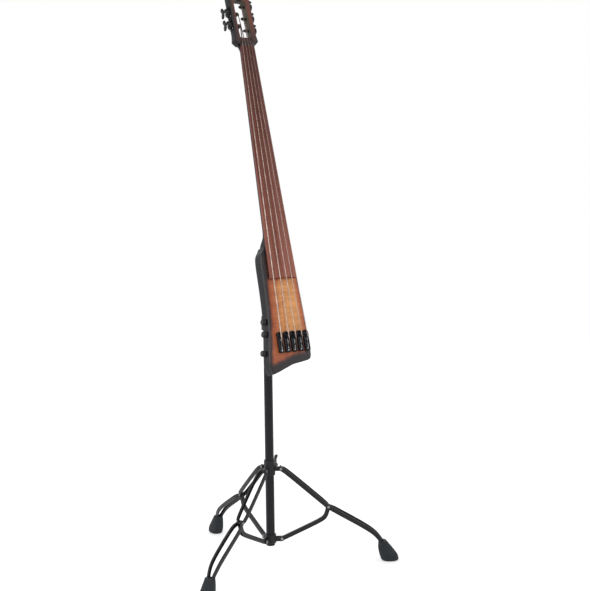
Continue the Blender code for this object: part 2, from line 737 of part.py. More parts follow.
def string_route(index):
    """Anchor, saddle, nut and the turns round the post, in the instrument frame."""
    diameter = STRING_DIAMETERS[index]
    x_low = string_x(index, 0.0)
    x_nut = string_x(index, SCALE_LENGTH)
    y_low = string_y(x_low)
    y_nut = string_y(x_nut)
    anchor = (x_low, -BRIDGE_FLOOR - diameter / 2 - 3 * GAP, BRIDGE_TAIL + BRIDGE_TAIL_LENGTH + GAP)
    lead = (x_low, anchor[1] - GAP, anchor[2] + STRING_LEAD)
    route = [anchor, lead, (x_low, y_low, STRING_BREAK)]
    for share in (0.0, 0.5, 1.0):
        route.append((mix(x_low, x_nut, share), mix(y_low, y_nut, share), SCALE_LENGTH * share))
    centre_x, centre_y, centre_z = post_centre(index)
    radius = POST_RADIUS + GAP + diameter / 2
    pitch = diameter + WRAP_GAP
    nut_depth = y_nut - head_front()
    away = hypot(centre_z, centre_y - nut_depth)
    first = atan2(centre_y - nut_depth, centre_z) - asin(radius / away)
    side = POST_SIDES[index]
    start_x = centre_x - side * 0.5 * pitch * WRAP_TURNS
    turns = []
    steps = ceil(WRAP_TURNS * POINTS_PER_TURN)
    for step in range(steps + 1):
        angle = first + 2 * pi * WRAP_TURNS * step / steps
        across = start_x + side * pitch * WRAP_TURNS * step / steps
        turns.append(head_point(across, centre_y - radius * cos(angle), centre_z + radius * sin(angle)))
    return route, turns


def least_gap(points, diameter):
    """Smallest free space between turns of one tube, measured on its points."""
    places = [Vector(point) for point in points]
    skip = POINTS_PER_TURN // 2
    spans = [(a - b).length for number, a in enumerate(places) for b in places[number + skip:]]
    return min(spans) - diameter


def make_strings(frame, material):
    for index, diameter in enumerate(STRING_DIAMETERS):
        route, turns = string_route(index)
        name = f"string_{index + 1}"
        curve = bpy.data.curves.new(name, "CURVE")
        curve.dimensions = "3D"
        curve.bevel_depth = diameter / 2
        curve.bevel_resolution = 1
        curve.use_fill_caps = True
        spline = curve.splines.new("POLY")
        points = route + turns
        spline.points.add(len(points) - 1)
        for point, place in zip(spline.points, points):
            point.co = (*place, 1.0)
        curve.materials.append(material)
        string = bpy.data.objects.new(name, curve)
        bpy.context.scene.collection.objects.link(string)
        string.parent = frame
        print(f"{name}: least gap between turns {1000 * least_gap(turns, diameter):.2f} mm")


# Tuning machines


def plate_outside():
    """Distance from the head's middle line to the outer face of a machine's plate."""
    return HEAD_HALF_WIDTH + GAP + PLATE_THICKNESS


def gear_start():
    return plate_outside() + GEAR_STANDOFF


def worm_offset():
    return GEAR_RADIUS + WORM_RADIUS + GAP


def ear_places():
    """Depths of the two bearing ears, either side of the worm."""
    half = WORM_LENGTH / 2 + GAP
    return ((-half - EAR_WIDTH, -half), (half, half + EAR_WIDTH))


def mirrored(side, low, high):
    return sorted((side * low, side * high))


def make_plate(name, side, frame, material):
    """Base plate screwed to the cheek, with two ears that carry the worm."""
    outline = rounded_rectangle(PLATE_WIDTH, PLATE_LENGTH, PLATE_CORNER, (0.0, PLATE_SHIFT))
    span = mirrored(side, HEAD_HALF_WIDTH + GAP, plate_outside())
    plate = add_object(name, prism(outline, *span, lambda y, z, x: (x, y, z)), material, frame)
    post_hole = rod(POST_RADIUS + GAP, *mirrored(side, 0.0, 2 * plate_outside()), 16, "X")
    cut(plate, add_helper(post_hole, frame))
    middle = gear_start() + GEAR_WIDTH / 2
    high = worm_offset()
    foot = HEAD_HALF_WIDTH + 2 * GAP
    for low_y, high_y in ear_places():
        corners = [(foot, high - EAR_HALF), (foot, high + EAR_HALF)]
        corners += arc((middle, high), EAR_HALF, pi / 2, -pi / 2, 4)
        ear = prism([(side * x, z) for x, z in corners], low_y, high_y, lambda x, z, y: (x, y, z))
        join(plate, add_helper(ear, frame))
    bearing = rod(KEY_STEM_RADIUS + GAP, -2 * WORM_LENGTH, 2 * WORM_LENGTH, 12, "Y")
    cut(plate, add_helper(bearing, frame, (side * middle, 0, high)))


def make_post(name, side, frame, material):
    """Toothed wheel outside the cheek, with the string post on the same axle."""
    start = gear_start()
    corners = ((0.0, GEAR_RADIUS), (0.4, GEAR_RADIUS), (0.7, GEAR_RADIUS - TOOTH_DEPTH))
    outline = []
    for tooth in range(GEAR_TEETH):
        for share, radius in corners:
            angle = 2 * pi * (tooth + share) / GEAR_TEETH
            outline.append((radius * cos(angle), radius * sin(angle)))
    gear = prism(outline, *mirrored(side, start, start + GEAR_WIDTH), lambda y, z, x: (x, y, z))
    wheel = add_object(name, gear, material, frame)
    tip = SLOT_HALF_WIDTH - POST_REACH
    waist = POST_RADIUS - POST_WAIST
    inside_gear = start + 0.5 * GEAR_WIDTH
    profile = [(0.0, tip), (waist, tip), (POST_RADIUS, tip + 0.6 * BREAK_EDGE),
               (POST_RADIUS, tip + 2 * BREAK_EDGE), (waist, tip + 3 * BREAK_EDGE),
               (waist, SLOT_HALF_WIDTH - BREAK_EDGE), (POST_RADIUS, SLOT_HALF_WIDTH),
               (POST_RADIUS, inside_gear), (0.0, inside_gear)]
    shaft = turned([(radius, side * along) for radius, along in profile], 12, "X")
    join(wheel, add_helper(shaft, frame))
    cap_high = start + GEAR_WIDTH + CAP_HEIGHT
    cap = rod(CAP_RADIUS, *mirrored(side, inside_gear, cap_high), 10, "X")
    join(wheel, add_helper(cap, frame))


def key_outline():
    """Half of the two-lobed key, from its stem to the dip between the lobes."""
    span = KEY_SPAN / 2
    right = [(0.22 * span, 0.0), (0.55 * span, 0.10 * KEY_HEIGHT), (0.92 * span, 0.35 * KEY_HEIGHT),
             (span, 0.68 * KEY_HEIGHT), (0.80 * span, 0.98 * KEY_HEIGHT), (0.45 * span, 0.90 * KEY_HEIGHT),
             (0.0, 0.62 * KEY_HEIGHT)]
    line = smooth_line(right, 2)
    return line + [(-a, b) for a, b in reversed(line[:-1])]


def make_key(name, side, frame, material):
    """Worm, stem and butterfly key in one piece; the key stands behind the head."""
    key_start = HEAD_THICKNESS - POST_DEPTH + KEY_CLEARANCE
    low = ear_places()[0][0] - BREAK_EDGE
    end = key_start + 0.3 * KEY_HEIGHT
    half = WORM_LENGTH / 2
    profile = [(0.0, low), (KEY_STEM_RADIUS, low), (KEY_STEM_RADIUS, -half), (WORM_RADIUS, -half),
               (WORM_RADIUS, half), (KEY_STEM_RADIUS, half), (KEY_STEM_RADIUS, end), (0.0, end)]
    key = add_object(name, turned(profile, 10, "Y"), material, frame)
    thick = KEY_THICKNESS / 2
    blade = prism(key_outline(), -thick, thick, lambda z, y, x: (x, key_start + y, z))
    join(key, add_helper(blade, frame))


def make_tuners(head_frame, plate_material, metal_material):
    """Five machines; the number in a name counts from the low string."""
    middle = gear_start() + GEAR_WIDTH / 2
    for index, (place, side) in enumerate(zip(POST_PLACES, POST_SIDES)):
        number = index + 1
        axis = add_frame(f"post_axis_{number}", head_frame, (HEAD_SHIFT, POST_DEPTH, place))
        worm = add_frame(f"worm_axis_{number}", axis, (side * middle, 0, worm_offset()))
        make_plate(f"tuner_plate_{number}", side, axis, plate_material)
        make_post(f"tuner_post_{number}", side, axis, metal_material)
        make_key(f"tuner_key_{number}", side, worm, plate_material)


# Mount on the back of the body


def make_mount_plate(frame, material):
    """Plate screwed to the back, with two ears round the tilt head's tongue."""
    near = BODY_THICKNESS + GAP
    far = near + MOUNT_PLATE_THICKNESS
    middle = (0.0, PIVOT_ALONG)
    outline = rounded_rectangle(MOUNT_PLATE_WIDTH, MOUNT_PLATE_LENGTH, MOUNT_PLATE_CORNER, middle, 4)
    plate = add_object("mount_plate", prism(outline, near, far, front_view), material, frame)
    foot = far - BREAK_EDGE
    ear = [(foot, PIVOT_ALONG - 2 * EAR_RADIUS),
           *arc((PIVOT_DEPTH, PIVOT_ALONG), EAR_RADIUS, -pi / 2, pi / 2, 8),
           (foot, PIVOT_ALONG + 2 * EAR_RADIUS)]
    inside = TONGUE_WIDTH / 2 + GAP
    for side in (-1, 1):
        span = mirrored(side, inside, inside + EAR_THICKNESS)
        join(plate, add_helper(prism(ear, *span, lambda y, z, x: (x, y, z)), frame))
    hole = rod(TILT_BOLT_RADIUS + GAP, -MOUNT_PLATE_WIDTH, MOUNT_PLATE_WIDTH, 16, "X")
    cut(plate, add_helper(hole, frame, (0, PIVOT_DEPTH, PIVOT_ALONG)))


def make_tilt_bolt(frame, material):
    """Bolt through ears and tongue, with a five-lobed knob on the treble side."""
    ear_out = TONGUE_WIDTH / 2 + GAP + EAR_THICKNESS + GAP
    head = -ear_out - TILT_BOLT_HEAD
    end = ear_out + 2 * BREAK_EDGE
    profile = [(0.0, head), (TILT_BOLT_HEAD_RADIUS, head), (TILT_BOLT_HEAD_RADIUS, -ear_out),
               (TILT_BOLT_RADIUS, -ear_out), (TILT_BOLT_RADIUS, end), (0.0, end)]
    bolt = add_object("tilt_knob", turned(profile, 16, "X"), material, frame)
    lobes = []
    for step in range(TILT_KNOB_POINTS):
        angle = 2 * pi * step / TILT_KNOB_POINTS
        radius = TILT_KNOB_RADIUS * (0.88 + 0.12 * cos(5 * angle))
        lobes.append((radius * cos(angle), radius * sin(angle)))
    knob = prism(lobes, ear_out, ear_out + TILT_KNOB_WIDTH, lambda y, z, x: (x, y, z))
    knob_item = add_helper(knob, frame)
    round_edges(knob_item, 2 * BREAK_EDGE, 1, radians(60))
    join(bolt, knob_item)


def tongue_outline(radius, floor):
    """Side view of the tongue: round at the pivot, straight down to the socket."""
    back = PIVOT_FORWARD + 0.6 * TILT_HEAD_RADIUS
    round_end = arc((0.0, 0.0), radius, radians(60), radians(200), 8)
    return [(back, floor), (back, floor + TILT_HEAD_ROOF), *round_end, (-radius, floor)]


def make_tilt_head(frame, material):
    """Socket over the inner tube with the tongue of the tilt joint; the frame lies on the pivot."""
    top = -TILT_HEAD_DROP
    low = top - TILT_HEAD_HEIGHT
    roof = top - TILT_HEAD_ROOF
    bore = inner_tube_radius() + GAP
    profile = [(0.0, top), (TILT_HEAD_RADIUS - BREAK_EDGE, top), (TILT_HEAD_RADIUS, top - BREAK_EDGE),
               (TILT_HEAD_RADIUS, low), (bore, low), (bore, roof), (0.0, roof)]
    socket = turned(profile, 24)
    bmesh.ops.translate(socket, vec=(0, PIVOT_FORWARD, 0), verts=socket.verts)
    head = add_object("tilt_head", socket, material, frame)
    half = TONGUE_WIDTH / 2
    outline = tongue_outline(EAR_RADIUS - 0.5 * BREAK_EDGE, roof + BREAK_EDGE)
    tongue = prism(outline, -half, half, lambda y, z, x: (x, y, z))
    join(head, add_helper(tongue, frame))
    hole = rod(TILT_BOLT_RADIUS + GAP, -TONGUE_WIDTH, TONGUE_WIDTH, 16, "X")
    cut(head, add_helper(hole, frame))


# Stand


def inner_tube_radius():
    return TUBE_RADIUS - TUBE_WALL - TUBE_PLAY


def make_tubes(frame, material):
    outer = tube(TUBE_RADIUS - TUBE_WALL, TUBE_RADIUS, TUBE_BOTTOM, TUBE_TOP, 24)
    add_object("outer_tube", outer, material, frame)
    radius = inner_tube_radius()
    top = PIVOT_HEIGHT - TILT_HEAD_DROP - TILT_HEAD_ROOF - GAP
    inner = tube(radius - INNER_TUBE_WALL, radius, INNER_TUBE_BOTTOM, top, 20)
    add_object("inner_tube", inner, material, frame)


def make_wing_screw(name, frame, height, direction, material):
    """Clamping screw with a flat two-winged handle."""
    turn = add_frame(name + "_axis", frame, (0, 0, height), (0, 0, direction))
    tip = TUBE_RADIUS + 2 * GAP
    handle = SCREW_BOSS_REACH + GAP
    end = handle + SCREW_SHANK
    profile = [(0.0, tip), (SCREW_RADIUS, tip), (SCREW_RADIUS, handle), (HANDLE_RADIUS, handle),
               (HANDLE_RADIUS - BREAK_EDGE, end), (0.0, end)]
    screw = add_object(name, turned(profile, 12, "X"), material, turn)
    half = WING_SPAN / 2
    dip = handle + 2 * BREAK_EDGE
    low = handle + WING_RISE
    crest = end + 2 * BREAK_EDGE
    right = [(0.3 * half, dip), (half, low), (half, low + WING_WIDTH), (0.45 * half, crest)]
    wing = right + [(-across, out) for across, out in reversed(right)]
    thick = WING_THICKNESS / 2
    blade_item = add_helper(prism(wing, -thick, thick, lambda z, x, y: (x, y, z)), turn)
    round_edges(blade_item, 0.3 * WING_THICKNESS, 1, radians(30))
    join(screw, blade_item)


def make_height_clamp(frame, material):
    """Collar on the outer tube's mouth, with the boss of its screw."""
    high = TUBE_TOP + CLAMP_LIP
    low = high - CLAMP_HEIGHT
    bore = TUBE_RADIUS + GAP
    outside = bore + CLAMP_WALL
    mouth = inner_tube_radius() + TUBE_PLAY
    outer_line = [(bore, low), (outside - BREAK_EDGE, low), (outside, low + BREAK_EDGE),
                  (outside, high - 2 * BREAK_EDGE), (outside - 2 * BREAK_EDGE, high)]
    mouth_line = [(mouth, high), (mouth, TUBE_TOP + GAP), (bore, TUBE_TOP + GAP)]
    clamp = add_object("height_clamp", turned(outer_line + mouth_line, 24), material, frame)
    screw_height = mix(low, high, 0.45)
    add_screw_seat(clamp, frame, screw_height, 0.0)
    make_wing_screw("height_screw", frame, screw_height, 0.0, material)


def add_screw_seat(item, frame, height, direction):
    """Boss on a sleeve, bored through to the tube for its screw."""
    boss = rod(SCREW_BOSS_RADIUS, TUBE_RADIUS + 4 * GAP, SCREW_BOSS_REACH, 16, "X")
    join(item, add_helper(boss, frame, (0, 0, height), (0, 0, direction)))
    hole = rod(SCREW_RADIUS + GAP, TUBE_RADIUS - CUT_PAST, SCREW_BOSS_REACH + CUT_PAST, 14, "X")
    cut(item, add_helper(hole, frame, (0, 0, height), (0, 0, direction)))


def lug_outline(reach):
    """Side view of a lug: from the sleeve to a round end at the pivot."""
    start = TUBE_RADIUS + 0.6 * COLLAR_WALL
    return [(start, -LUG_RADIUS), *arc((reach, 0.0), LUG_RADIUS, -pi / 2, pi / 2, 6), (start, LUG_RADIUS)]


def radial_view(reach, height, across):
    return (reach, across, height)


def make_leg_collar(frame, material):
    """Sliding sleeve with one solid lug for each leg and a locking screw."""
    bore = TUBE_RADIUS + GAP
    outside = bore + COLLAR_WALL
    low, high = LEG_COLLAR_LOW, LEG_COLLAR_HIGH
    profile = [(bore, low), (outside, low), (outside, high - BREAK_EDGE), (outside - BREAK_EDGE, high),
               (bore, high)]
    collar = add_object("leg_collar", turned(profile, 24), material, frame)
    half = LUG_WIDTH / 2
    for direction in LEG_DIRECTIONS:
        lug = prism(lug_outline(HUB_PIVOT_REACH), -half, half, radial_view)
        join(collar, add_helper(lug, frame, rotation=(0, 0, direction)))
        hole = rod(PIN_RADIUS + GAP, -LUG_WIDTH, LUG_WIDTH, 10, "Y")
        place = Matrix.Rotation(direction, 3, "Z") @ Vector((HUB_PIVOT_REACH, 0, 0))
        cut(collar, add_helper(hole, frame, place, (0, 0, direction)))
    height = COLLAR_SCREW_HEIGHT
    add_screw_seat(collar, frame, height, COLLAR_SCREW_DIRECTION)
    make_wing_screw("collar_screw", frame, height, COLLAR_SCREW_DIRECTION, material)


def make_brace_hub(frame, material):
    """Fixed sleeve at the foot of the post with three riveted clevises."""
    bore = TUBE_RADIUS + GAP
    outside = bore + COLLAR_WALL
    sleeve = tube(bore, outside, BRACE_HUB_LOW, BRACE_HUB_HIGH, 24)
    hub = add_object("brace_hub", sleeve, material, frame)
    inside = LUG_WIDTH / 2 + PIVOT_GAP
    outline = lug_outline(HUB_PIVOT_REACH)
    for direction in LEG_DIRECTIONS:
        for side in (-1, 1):
            cheek = prism(outline, *mirrored(side, inside, inside + HUB_SHEET), radial_view)
            join(hub, add_helper(cheek, frame, rotation=(0, 0, direction)))
        place = Matrix.Rotation(direction, 3, "Z") @ Vector((HUB_PIVOT_REACH, 0, 0))
        join(hub, add_helper(rivet(inside + HUB_SHEET), frame, place, (0, 0, direction)))


def rivet(outside):
    """Pin with a head at each end, along Y."""
    end = outside + RIVET_HEAD_HEIGHT
    inner = outside - 0.25 * BAR_SHEET
    dome = 0.7 * RIVET_HEAD_RADIUS
    half = [(0.0, end), (dome, end), (RIVET_HEAD_RADIUS, inner), (PIN_RADIUS, inner)]
    return turned([(radius, -place) for radius, place in half] + half[::-1], 10, "Y")


def extended(route, reach):
    """Lengthen a side-view route by reach, past its first point."""
    (a, b), (c, d) = route[0], route[1]
    length = hypot(c - a, d - b)
    return [(a - (c - a) * reach / length, b - (d - b) * reach / length), *route]


def channel_bar(line, section, pivot):
    """Sweep a channel section along (reach, height, across) points."""
    rings = []
    for number, (reach, height, across) in enumerate(line):
        before = line[max(number - 1, 0)]
        after = line[min(number + 1, len(line) - 1)]
        run = Vector((after[0] - before[0], after[1] - before[1])).normalized()
        rings.append([(reach - pivot[0] - run.y * up, across + out, height - pivot[1] + run.x * up)
                      for out, up in section])
    return loft(rings)


def side_channel(side):
    """Section of a leg bar, its open side facing the other bar."""
    out = side * BAR_WIDTH / 2
    back = side * (BAR_WIDTH / 2 - BAR_SHEET)
    high = BAR_HEIGHT / 2
    low = high - BAR_SHEET
    outside = [(-out, high), (out, high), (out, -high), (-out, -high)]
    return outside + [(-out, -low), (back, -low), (back, low), (-out, low)]


def leg_line(side):
    """One bar's route with its spread, from behind the hub pivot into the boot."""
    pinched = LUG_WIDTH / 2 + PIVOT_GAP + BAR_WIDTH / 2
    spreads = [mix(pinched, BAR_SPREAD, share) for share in LEG_SPREADS]
    spreads.append(BAR_WIDTH / 2 - 2 * GAP)
    route = extended(LEG_ROUTE, LUG_RADIUS)
    paired = zip(route, [spreads[0], *spreads])
    points = [(reach, height, side * spread) for (reach, height), spread in paired]
    return [points[0]] + smooth_line(points[1:], LEG_STEPS)


def make_leg(name, frame, material):
    """Two bars joined by the pin at the hub, meeting again in the boot."""
    pivot = LEG_ROUTE[0]
    leg = add_object(name, channel_bar(leg_line(1), side_channel(1), pivot), material, frame)
    join(leg, add_helper(channel_bar(leg_line(-1), side_channel(-1), pivot), frame))
    outside = LUG_WIDTH / 2 + PIVOT_GAP + BAR_WIDTH
    join(leg, add_helper(rivet(outside), frame))
    middle = (MID_PIVOT[0] - pivot[0], 0, MID_PIVOT[1] - pivot[1])
    for side in (-1, 1):
        span = mirrored(side, outside - 0.5 * BAR_SHEET, outside + RIVET_HEAD_HEIGHT)
        join(leg, add_helper(rod(RIVET_HEAD_RADIUS, *span, 8, "Y"), frame, middle))


def make_brace(name, frame, material):
    """Single channel from the hub to between the bars of its leg."""
    pivot = BRACE_ROUTE[0]
    half = LUG_WIDTH / 2
    high = BAR_HEIGHT / 2
    inner = half - BAR_SHEET
    under = high - BAR_SHEET
    section = [(-half, -high), (-half, high), (half, high), (half, -high), (inner, -high), (inner, under),
               (-inner, under), (-inner, -high)]
    route = extended(BRACE_ROUTE, 0.9 * LUG_RADIUS)
    route = extended(list(reversed(route)), 0.9 * LUG_RADIUS)[::-1]
    line = smooth_line(route[1:-1], LEG_STEPS)
    line = [route[0], *line, route[-1]]
    bar = channel_bar([(reach, height, 0.0) for reach, height in line], section, pivot)
    brace = add_object(name, bar, material, frame)
    for place in ((0, 0, 0), (MID_PIVOT[0] - pivot[0], 0, MID_PIVOT[1] - pivot[1])):
        hole = rod(PIN_RADIUS + GAP, -LUG_WIDTH, LUG_WIDTH, 10, "Y")
        cut(brace, add_helper(hole, frame, place))


def make_boot(name, frame, material):
    """Rubber boot with a flat sole, pushed on the closed end of the leg."""
    pivot = LEG_ROUTE[0]
    angles = [2 * pi * step / BOOT_SIDES for step in range(BOOT_SIDES)]
    rings = []
    for height, reach, half_out, half_across in BOOT_SECTIONS:
        out = reach - pivot[0]
        place = height - pivot[1]
        rings.append([(out + half_out * squared(cos(angle)), half_across * squared(sin(angle)), place)
                      for angle in angles])
    boot = add_object(name, loft(rings), material, frame)
    line = leg_line(1)[-LEG_STEPS - 2:]
    run = Vector((line[-1][0] - line[-2][0], line[-1][1] - line[-2][1])).normalized()
    line.append((line[-1][0] + GAP * run.x, line[-1][1] + GAP * run.y, line[-1][2]))
    high = BAR_HEIGHT / 2 + GAP
    pocket = []
    for before, (reach, height, across), after in zip([line[0], *line], line, [*line[1:], line[-1]]):
        run = Vector((after[0] - before[0], after[1] - before[1])).normalized()
        wide = across + BAR_WIDTH / 2 + GAP
        off = Vector((-run.y, run.x)) * high
        middle = Vector((reach - pivot[0], height - pivot[1]))
        pocket.append([(middle.x + up * off.x, wide * out, middle.y + up * off.y)
                       for out, up in ((1, 1), (1, -1), (-1, -1), (-1, 1))])
    cut(boot, add_helper(loft(pocket), frame))


def squared(value):
    """Superellipse coordinate between a circle's and a square's."""
    return abs(value) ** 0.75 * (1 if value >= 0 else -1)


def make_stand(stand, material, rubber):
    """Post, clamp, hubs and folding legs; each moving piece hangs on a frame at its joint."""
    make_tubes(stand, material)
    make_height_clamp(stand, material)
    make_leg_collar(add_frame("leg_collar_frame", stand, (0, 0, LEG_PIVOT_HEIGHT)), material)
    make_brace_hub(add_frame("brace_hub_frame", stand, (0, 0, BRACE_PIVOT_HEIGHT)), material)
    for name, direction in zip(LEG_NAMES, LEG_DIRECTIONS):
        plane = add_frame(name + "_plane", stand, rotation=(0, 0, direction))
        hip = add_frame(name + "_leg_pivot", plane, (LEG_ROUTE[0][0], 0, LEG_ROUTE[0][1]))
        heel = add_frame(name + "_brace_pivot", plane, (BRACE_ROUTE[0][0], 0, BRACE_ROUTE[0][1]))
        make_leg(name + "_leg", hip, material)
        make_boot(name + "_boot", hip, rubber)
        make_brace(name + "_brace", heel, material)


def make_instrument(stand, materials):
    pivot = add_frame("tilt_pivot", stand, (0, -PIVOT_FORWARD, PIVOT_HEIGHT))
    make_tilt_head(pivot, materials["stand"])
    leaning = add_frame("leaning", pivot, rotation=(-LEAN, 0, 0))
    make_tilt_bolt(leaning, materials["stand"])
    body = add_frame("instrument", leaning, (0, -PIVOT_DEPTH, -PIVOT_ALONG))
    head = add_frame("head", body, (0, head_front(), SCALE_LENGTH), (-HEAD_TILT, 0, 0))
    make_neck(body, head, materials["neck"])
    bass_wing = make_wing("bass_wing", -1.0, -BLOCK_WIDTH / 2 - GAP, body, materials["body"])
    treble_wing = make_wing("treble_wing", BLOCK_WIDTH / 2 + GAP, 1.0, body, materials["body"])
    make_top(body, materials["top"])
    make_fingerboard(body, materials["board"])
    make_nut(body, materials["nut"])
    make_cover(body, bass_wing, materials["plastic"])
    make_knobs(body, bass_wing, materials["plastic"])
    make_jack(body, treble_wing, materials["hardware"])
    make_bridges(body, materials["hardware"], materials["hardware"])
    make_strings(body, materials["string"])
    make_tuners(head, materials["hardware"], materials["hardware"])
    make_mount_plate(body, materials["stand"])


def main():
    clear_scene()
    materials = {
        "neck": make_material("dark_stained_maple", (0.060, 0.035, 0.028), 0.35),
        "body": make_material("charcoal_lacquer", (0.030, 0.030, 0.033), 0.35),
        "top": make_material("amber_figured_top", (0.560, 0.240, 0.080), 0.28),
        "board": make_material("reddish_brown_board", (0.190, 0.075, 0.055), 0.45),
        "nut": make_material("black_nut", (0.020, 0.020, 0.020), 0.45),
        "plastic": make_material("black_plastic", (0.018, 0.018, 0.019), 0.40),
        "hardware": make_material("black_hardware", (0.022, 0.022, 0.024), 0.30, 0.6),
        "string": make_material("wound_steel", (0.560, 0.520, 0.480), 0.30, 1.0),
        "stand": make_material("satin_black_steel", (0.028, 0.028, 0.030), 0.42, 0.3),
        "rubber": make_material("boot_rubber", (0.025, 0.029, 0.032), 0.80),
    }
    stand = add_frame("stand", None, (POST_X, POST_Y, 0.0))
    make_stand(stand, materials["stand"], materials["rubber"])
    make_instrument(stand, materials)


main()
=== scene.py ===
"""Looks of the electric upright bass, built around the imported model.

Frames as in the CAD: metres, +Z up, the strings face -Y and the low string is at -X.
In the instrument's own frame X runs across, Y into the body and Z along the strings.
"""
from math import asin, atan2, ceil, cos, hypot, pi, radians, sin

import bmesh
import bpy
from mathutils import Matrix, Vector


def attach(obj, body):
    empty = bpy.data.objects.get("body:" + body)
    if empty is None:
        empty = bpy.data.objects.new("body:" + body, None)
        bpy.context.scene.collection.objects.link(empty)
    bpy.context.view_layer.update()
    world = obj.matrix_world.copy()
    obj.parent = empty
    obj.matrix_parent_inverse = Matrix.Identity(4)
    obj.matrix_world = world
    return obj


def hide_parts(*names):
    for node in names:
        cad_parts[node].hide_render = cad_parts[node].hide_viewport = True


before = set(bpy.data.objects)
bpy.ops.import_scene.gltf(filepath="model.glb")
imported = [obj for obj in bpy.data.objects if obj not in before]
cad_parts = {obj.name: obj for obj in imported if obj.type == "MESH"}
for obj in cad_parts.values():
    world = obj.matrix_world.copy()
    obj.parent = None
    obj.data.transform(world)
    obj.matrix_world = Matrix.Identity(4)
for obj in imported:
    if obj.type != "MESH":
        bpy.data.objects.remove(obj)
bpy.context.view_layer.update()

# Strings, low to high
STRING_DIAMETERS = (0.0033, 0.0027, 0.0022, 0.0017, 0.0013)
STRING_COUNT = len(STRING_DIAMETERS)
SCALE_LENGTH = 0.864
SADDLE_SPACING = 0.0215
NUT_SPACING = 0.0092
STRING_HEIGHT = 0.022
NUT_ACTION = 0.0016
END_ACTION = 0.0070
FINGERBOARD_RADIUS = 0.130
GAP = 0.0003
CUT_PAST = 0.004

# Fingerboard and neck
BOARD_END = 0.168
BOARD_NUT_WIDTH = 0.044
BOARD_END_WIDTH = 0.089
BOARD_THICKNESS = 0.0115
NUT_LENGTH = 0.005
NECK_DEPTH_NUT = 0.014
NECK_DEPTH_HEEL = 0.024
HEEL_START = 0.312
HEEL_END = 0.256
NECK_ROOT = 0.206
NECK_POWER = 2.3
HEEL_POWER = 9.0
HEAD_POWER = 5.0
VOLUTE_LENGTH = 0.030
# Shares of the board's half width, from edge to edge
ACROSS = [step / 16 - 1 for step in range(33)]

# Body
TOP_THICKNESS = 0.005
BODY_THICKNESS = 0.038
BLOCK_WIDTH = 0.056
BODY_EDGE = 0.0045
CORE_LOW = -0.030
CORE_HIGH = 0.225
BURST_BASS_REACHES = (0.050, 0.130)
BURST_TREBLE_REACH = 0.022
BURST_TAIL_REACH = 0.066
BURST_TAIL_BORDER = 0.012
BURST_RISE_START = 0.13
BURST_RISE_LENGTH = 0.09
BASS_EDGE = ((-0.0440, 0.262), (-0.0500, 0.2515), (-0.0560, 0.2425), (-0.0597, 0.2310), (-0.0615, 0.2080),
             (-0.0620, 0.1750), (-0.0626, 0.1350), (-0.0645, 0.0850), (-0.0690, 0.0300), (-0.0755, -0.0150),
             (-0.0820, -0.0500), (-0.0843, -0.0740))
TAIL_EDGE = ((-0.0780, -0.100), (-0.0620, -0.0985), (-0.0350, -0.0890), (-0.0060, -0.0790),
             (0.0280, -0.0735), (0.0460, -0.0700), (0.0545, -0.0600))
TREBLE_EDGE = ((0.0560, -0.028), (0.0545, 0.060), (0.0510, 0.158), (0.0470, 0.230), (0.0450, 0.262))

# Head
HEAD_TILT = radians(3.0)
HEAD_THICKNESS = 0.025
HEAD_STEP = 0.0055
HEAD_SHIFT = 0.002
HEAD_HALF_WIDTH = 0.035
HEAD_SHOULDER = 0.0385
HEAD_LENGTH = 0.192
HEAD_CORNER = 0.012
SLOT_HALF_WIDTH = 0.020
SLOT_START = 0.030
SLOT_END = 0.148
SLOT_CORNER = 0.012
RAMP_START = 0.010
RAMP_DEPTH = 0.011
RAMP_HALF_WIDTH = 0.0195
HEAD_FLARE_INSET = 0.006
BURST_SHIFT = 0.006

# Tuning machines
POST_PLACES = (0.0675, 0.1060, 0.1320, 0.0935, 0.0550)
POST_SIDES = (-1, -1, 1, 1, 1)
POST_RADIUS = 0.0042
POST_REACH = 0.017
POST_DEPTH = 0.0135
GEAR_TEETH = 16
GEAR_RADIUS = 0.0110
GEAR_WIDTH = 0.0045
TOOTH_DEPTH = 0.0012
GEAR_STANDOFF = 0.0014
WORM_RADIUS = 0.0032
PLATE_THICKNESS = 0.0015
PLATE_LENGTH = 0.034
PLATE_WIDTH = 0.022
PLATE_CORNER = 0.004
PLATE_SHIFT = 0.0035
PLATE_SCREW_PLACE = (0.0078, -0.0104)
WORM_LENGTH = 0.010
WORM_DEPTH = 0.0009
THREAD_WIRE = 0.00062
EAR_WIDTH = 0.0030
EAR_HALF = 0.0042
CAP_RADIUS = 0.0045
CAP_HEIGHT = 0.002
KEY_CLEARANCE = 0.006
KEY_STEM_RADIUS = 0.0026
KEY_SPAN = 0.034
KEY_HEIGHT = 0.017
KEY_THICKNESS = 0.0045
WRAP_TURNS = 1.5
WRAP_GAP = 0.0008
WRAP_MIDDLE = 0.0105
POINTS_PER_TURN = 24

# Screw heads: radius and height
COVER_SCREW = (0.0024, 0.0011)
BRIDGE_SCREW = (0.0030, 0.0014)
SADDLE_STUD = (0.0013, 0.0012)
PLATE_SCREW = (0.0017, 0.0009)
MOUNT_SCREW = (0.0036, 0.0018)
TILT_SCREW = (0.0032, 0.0016)

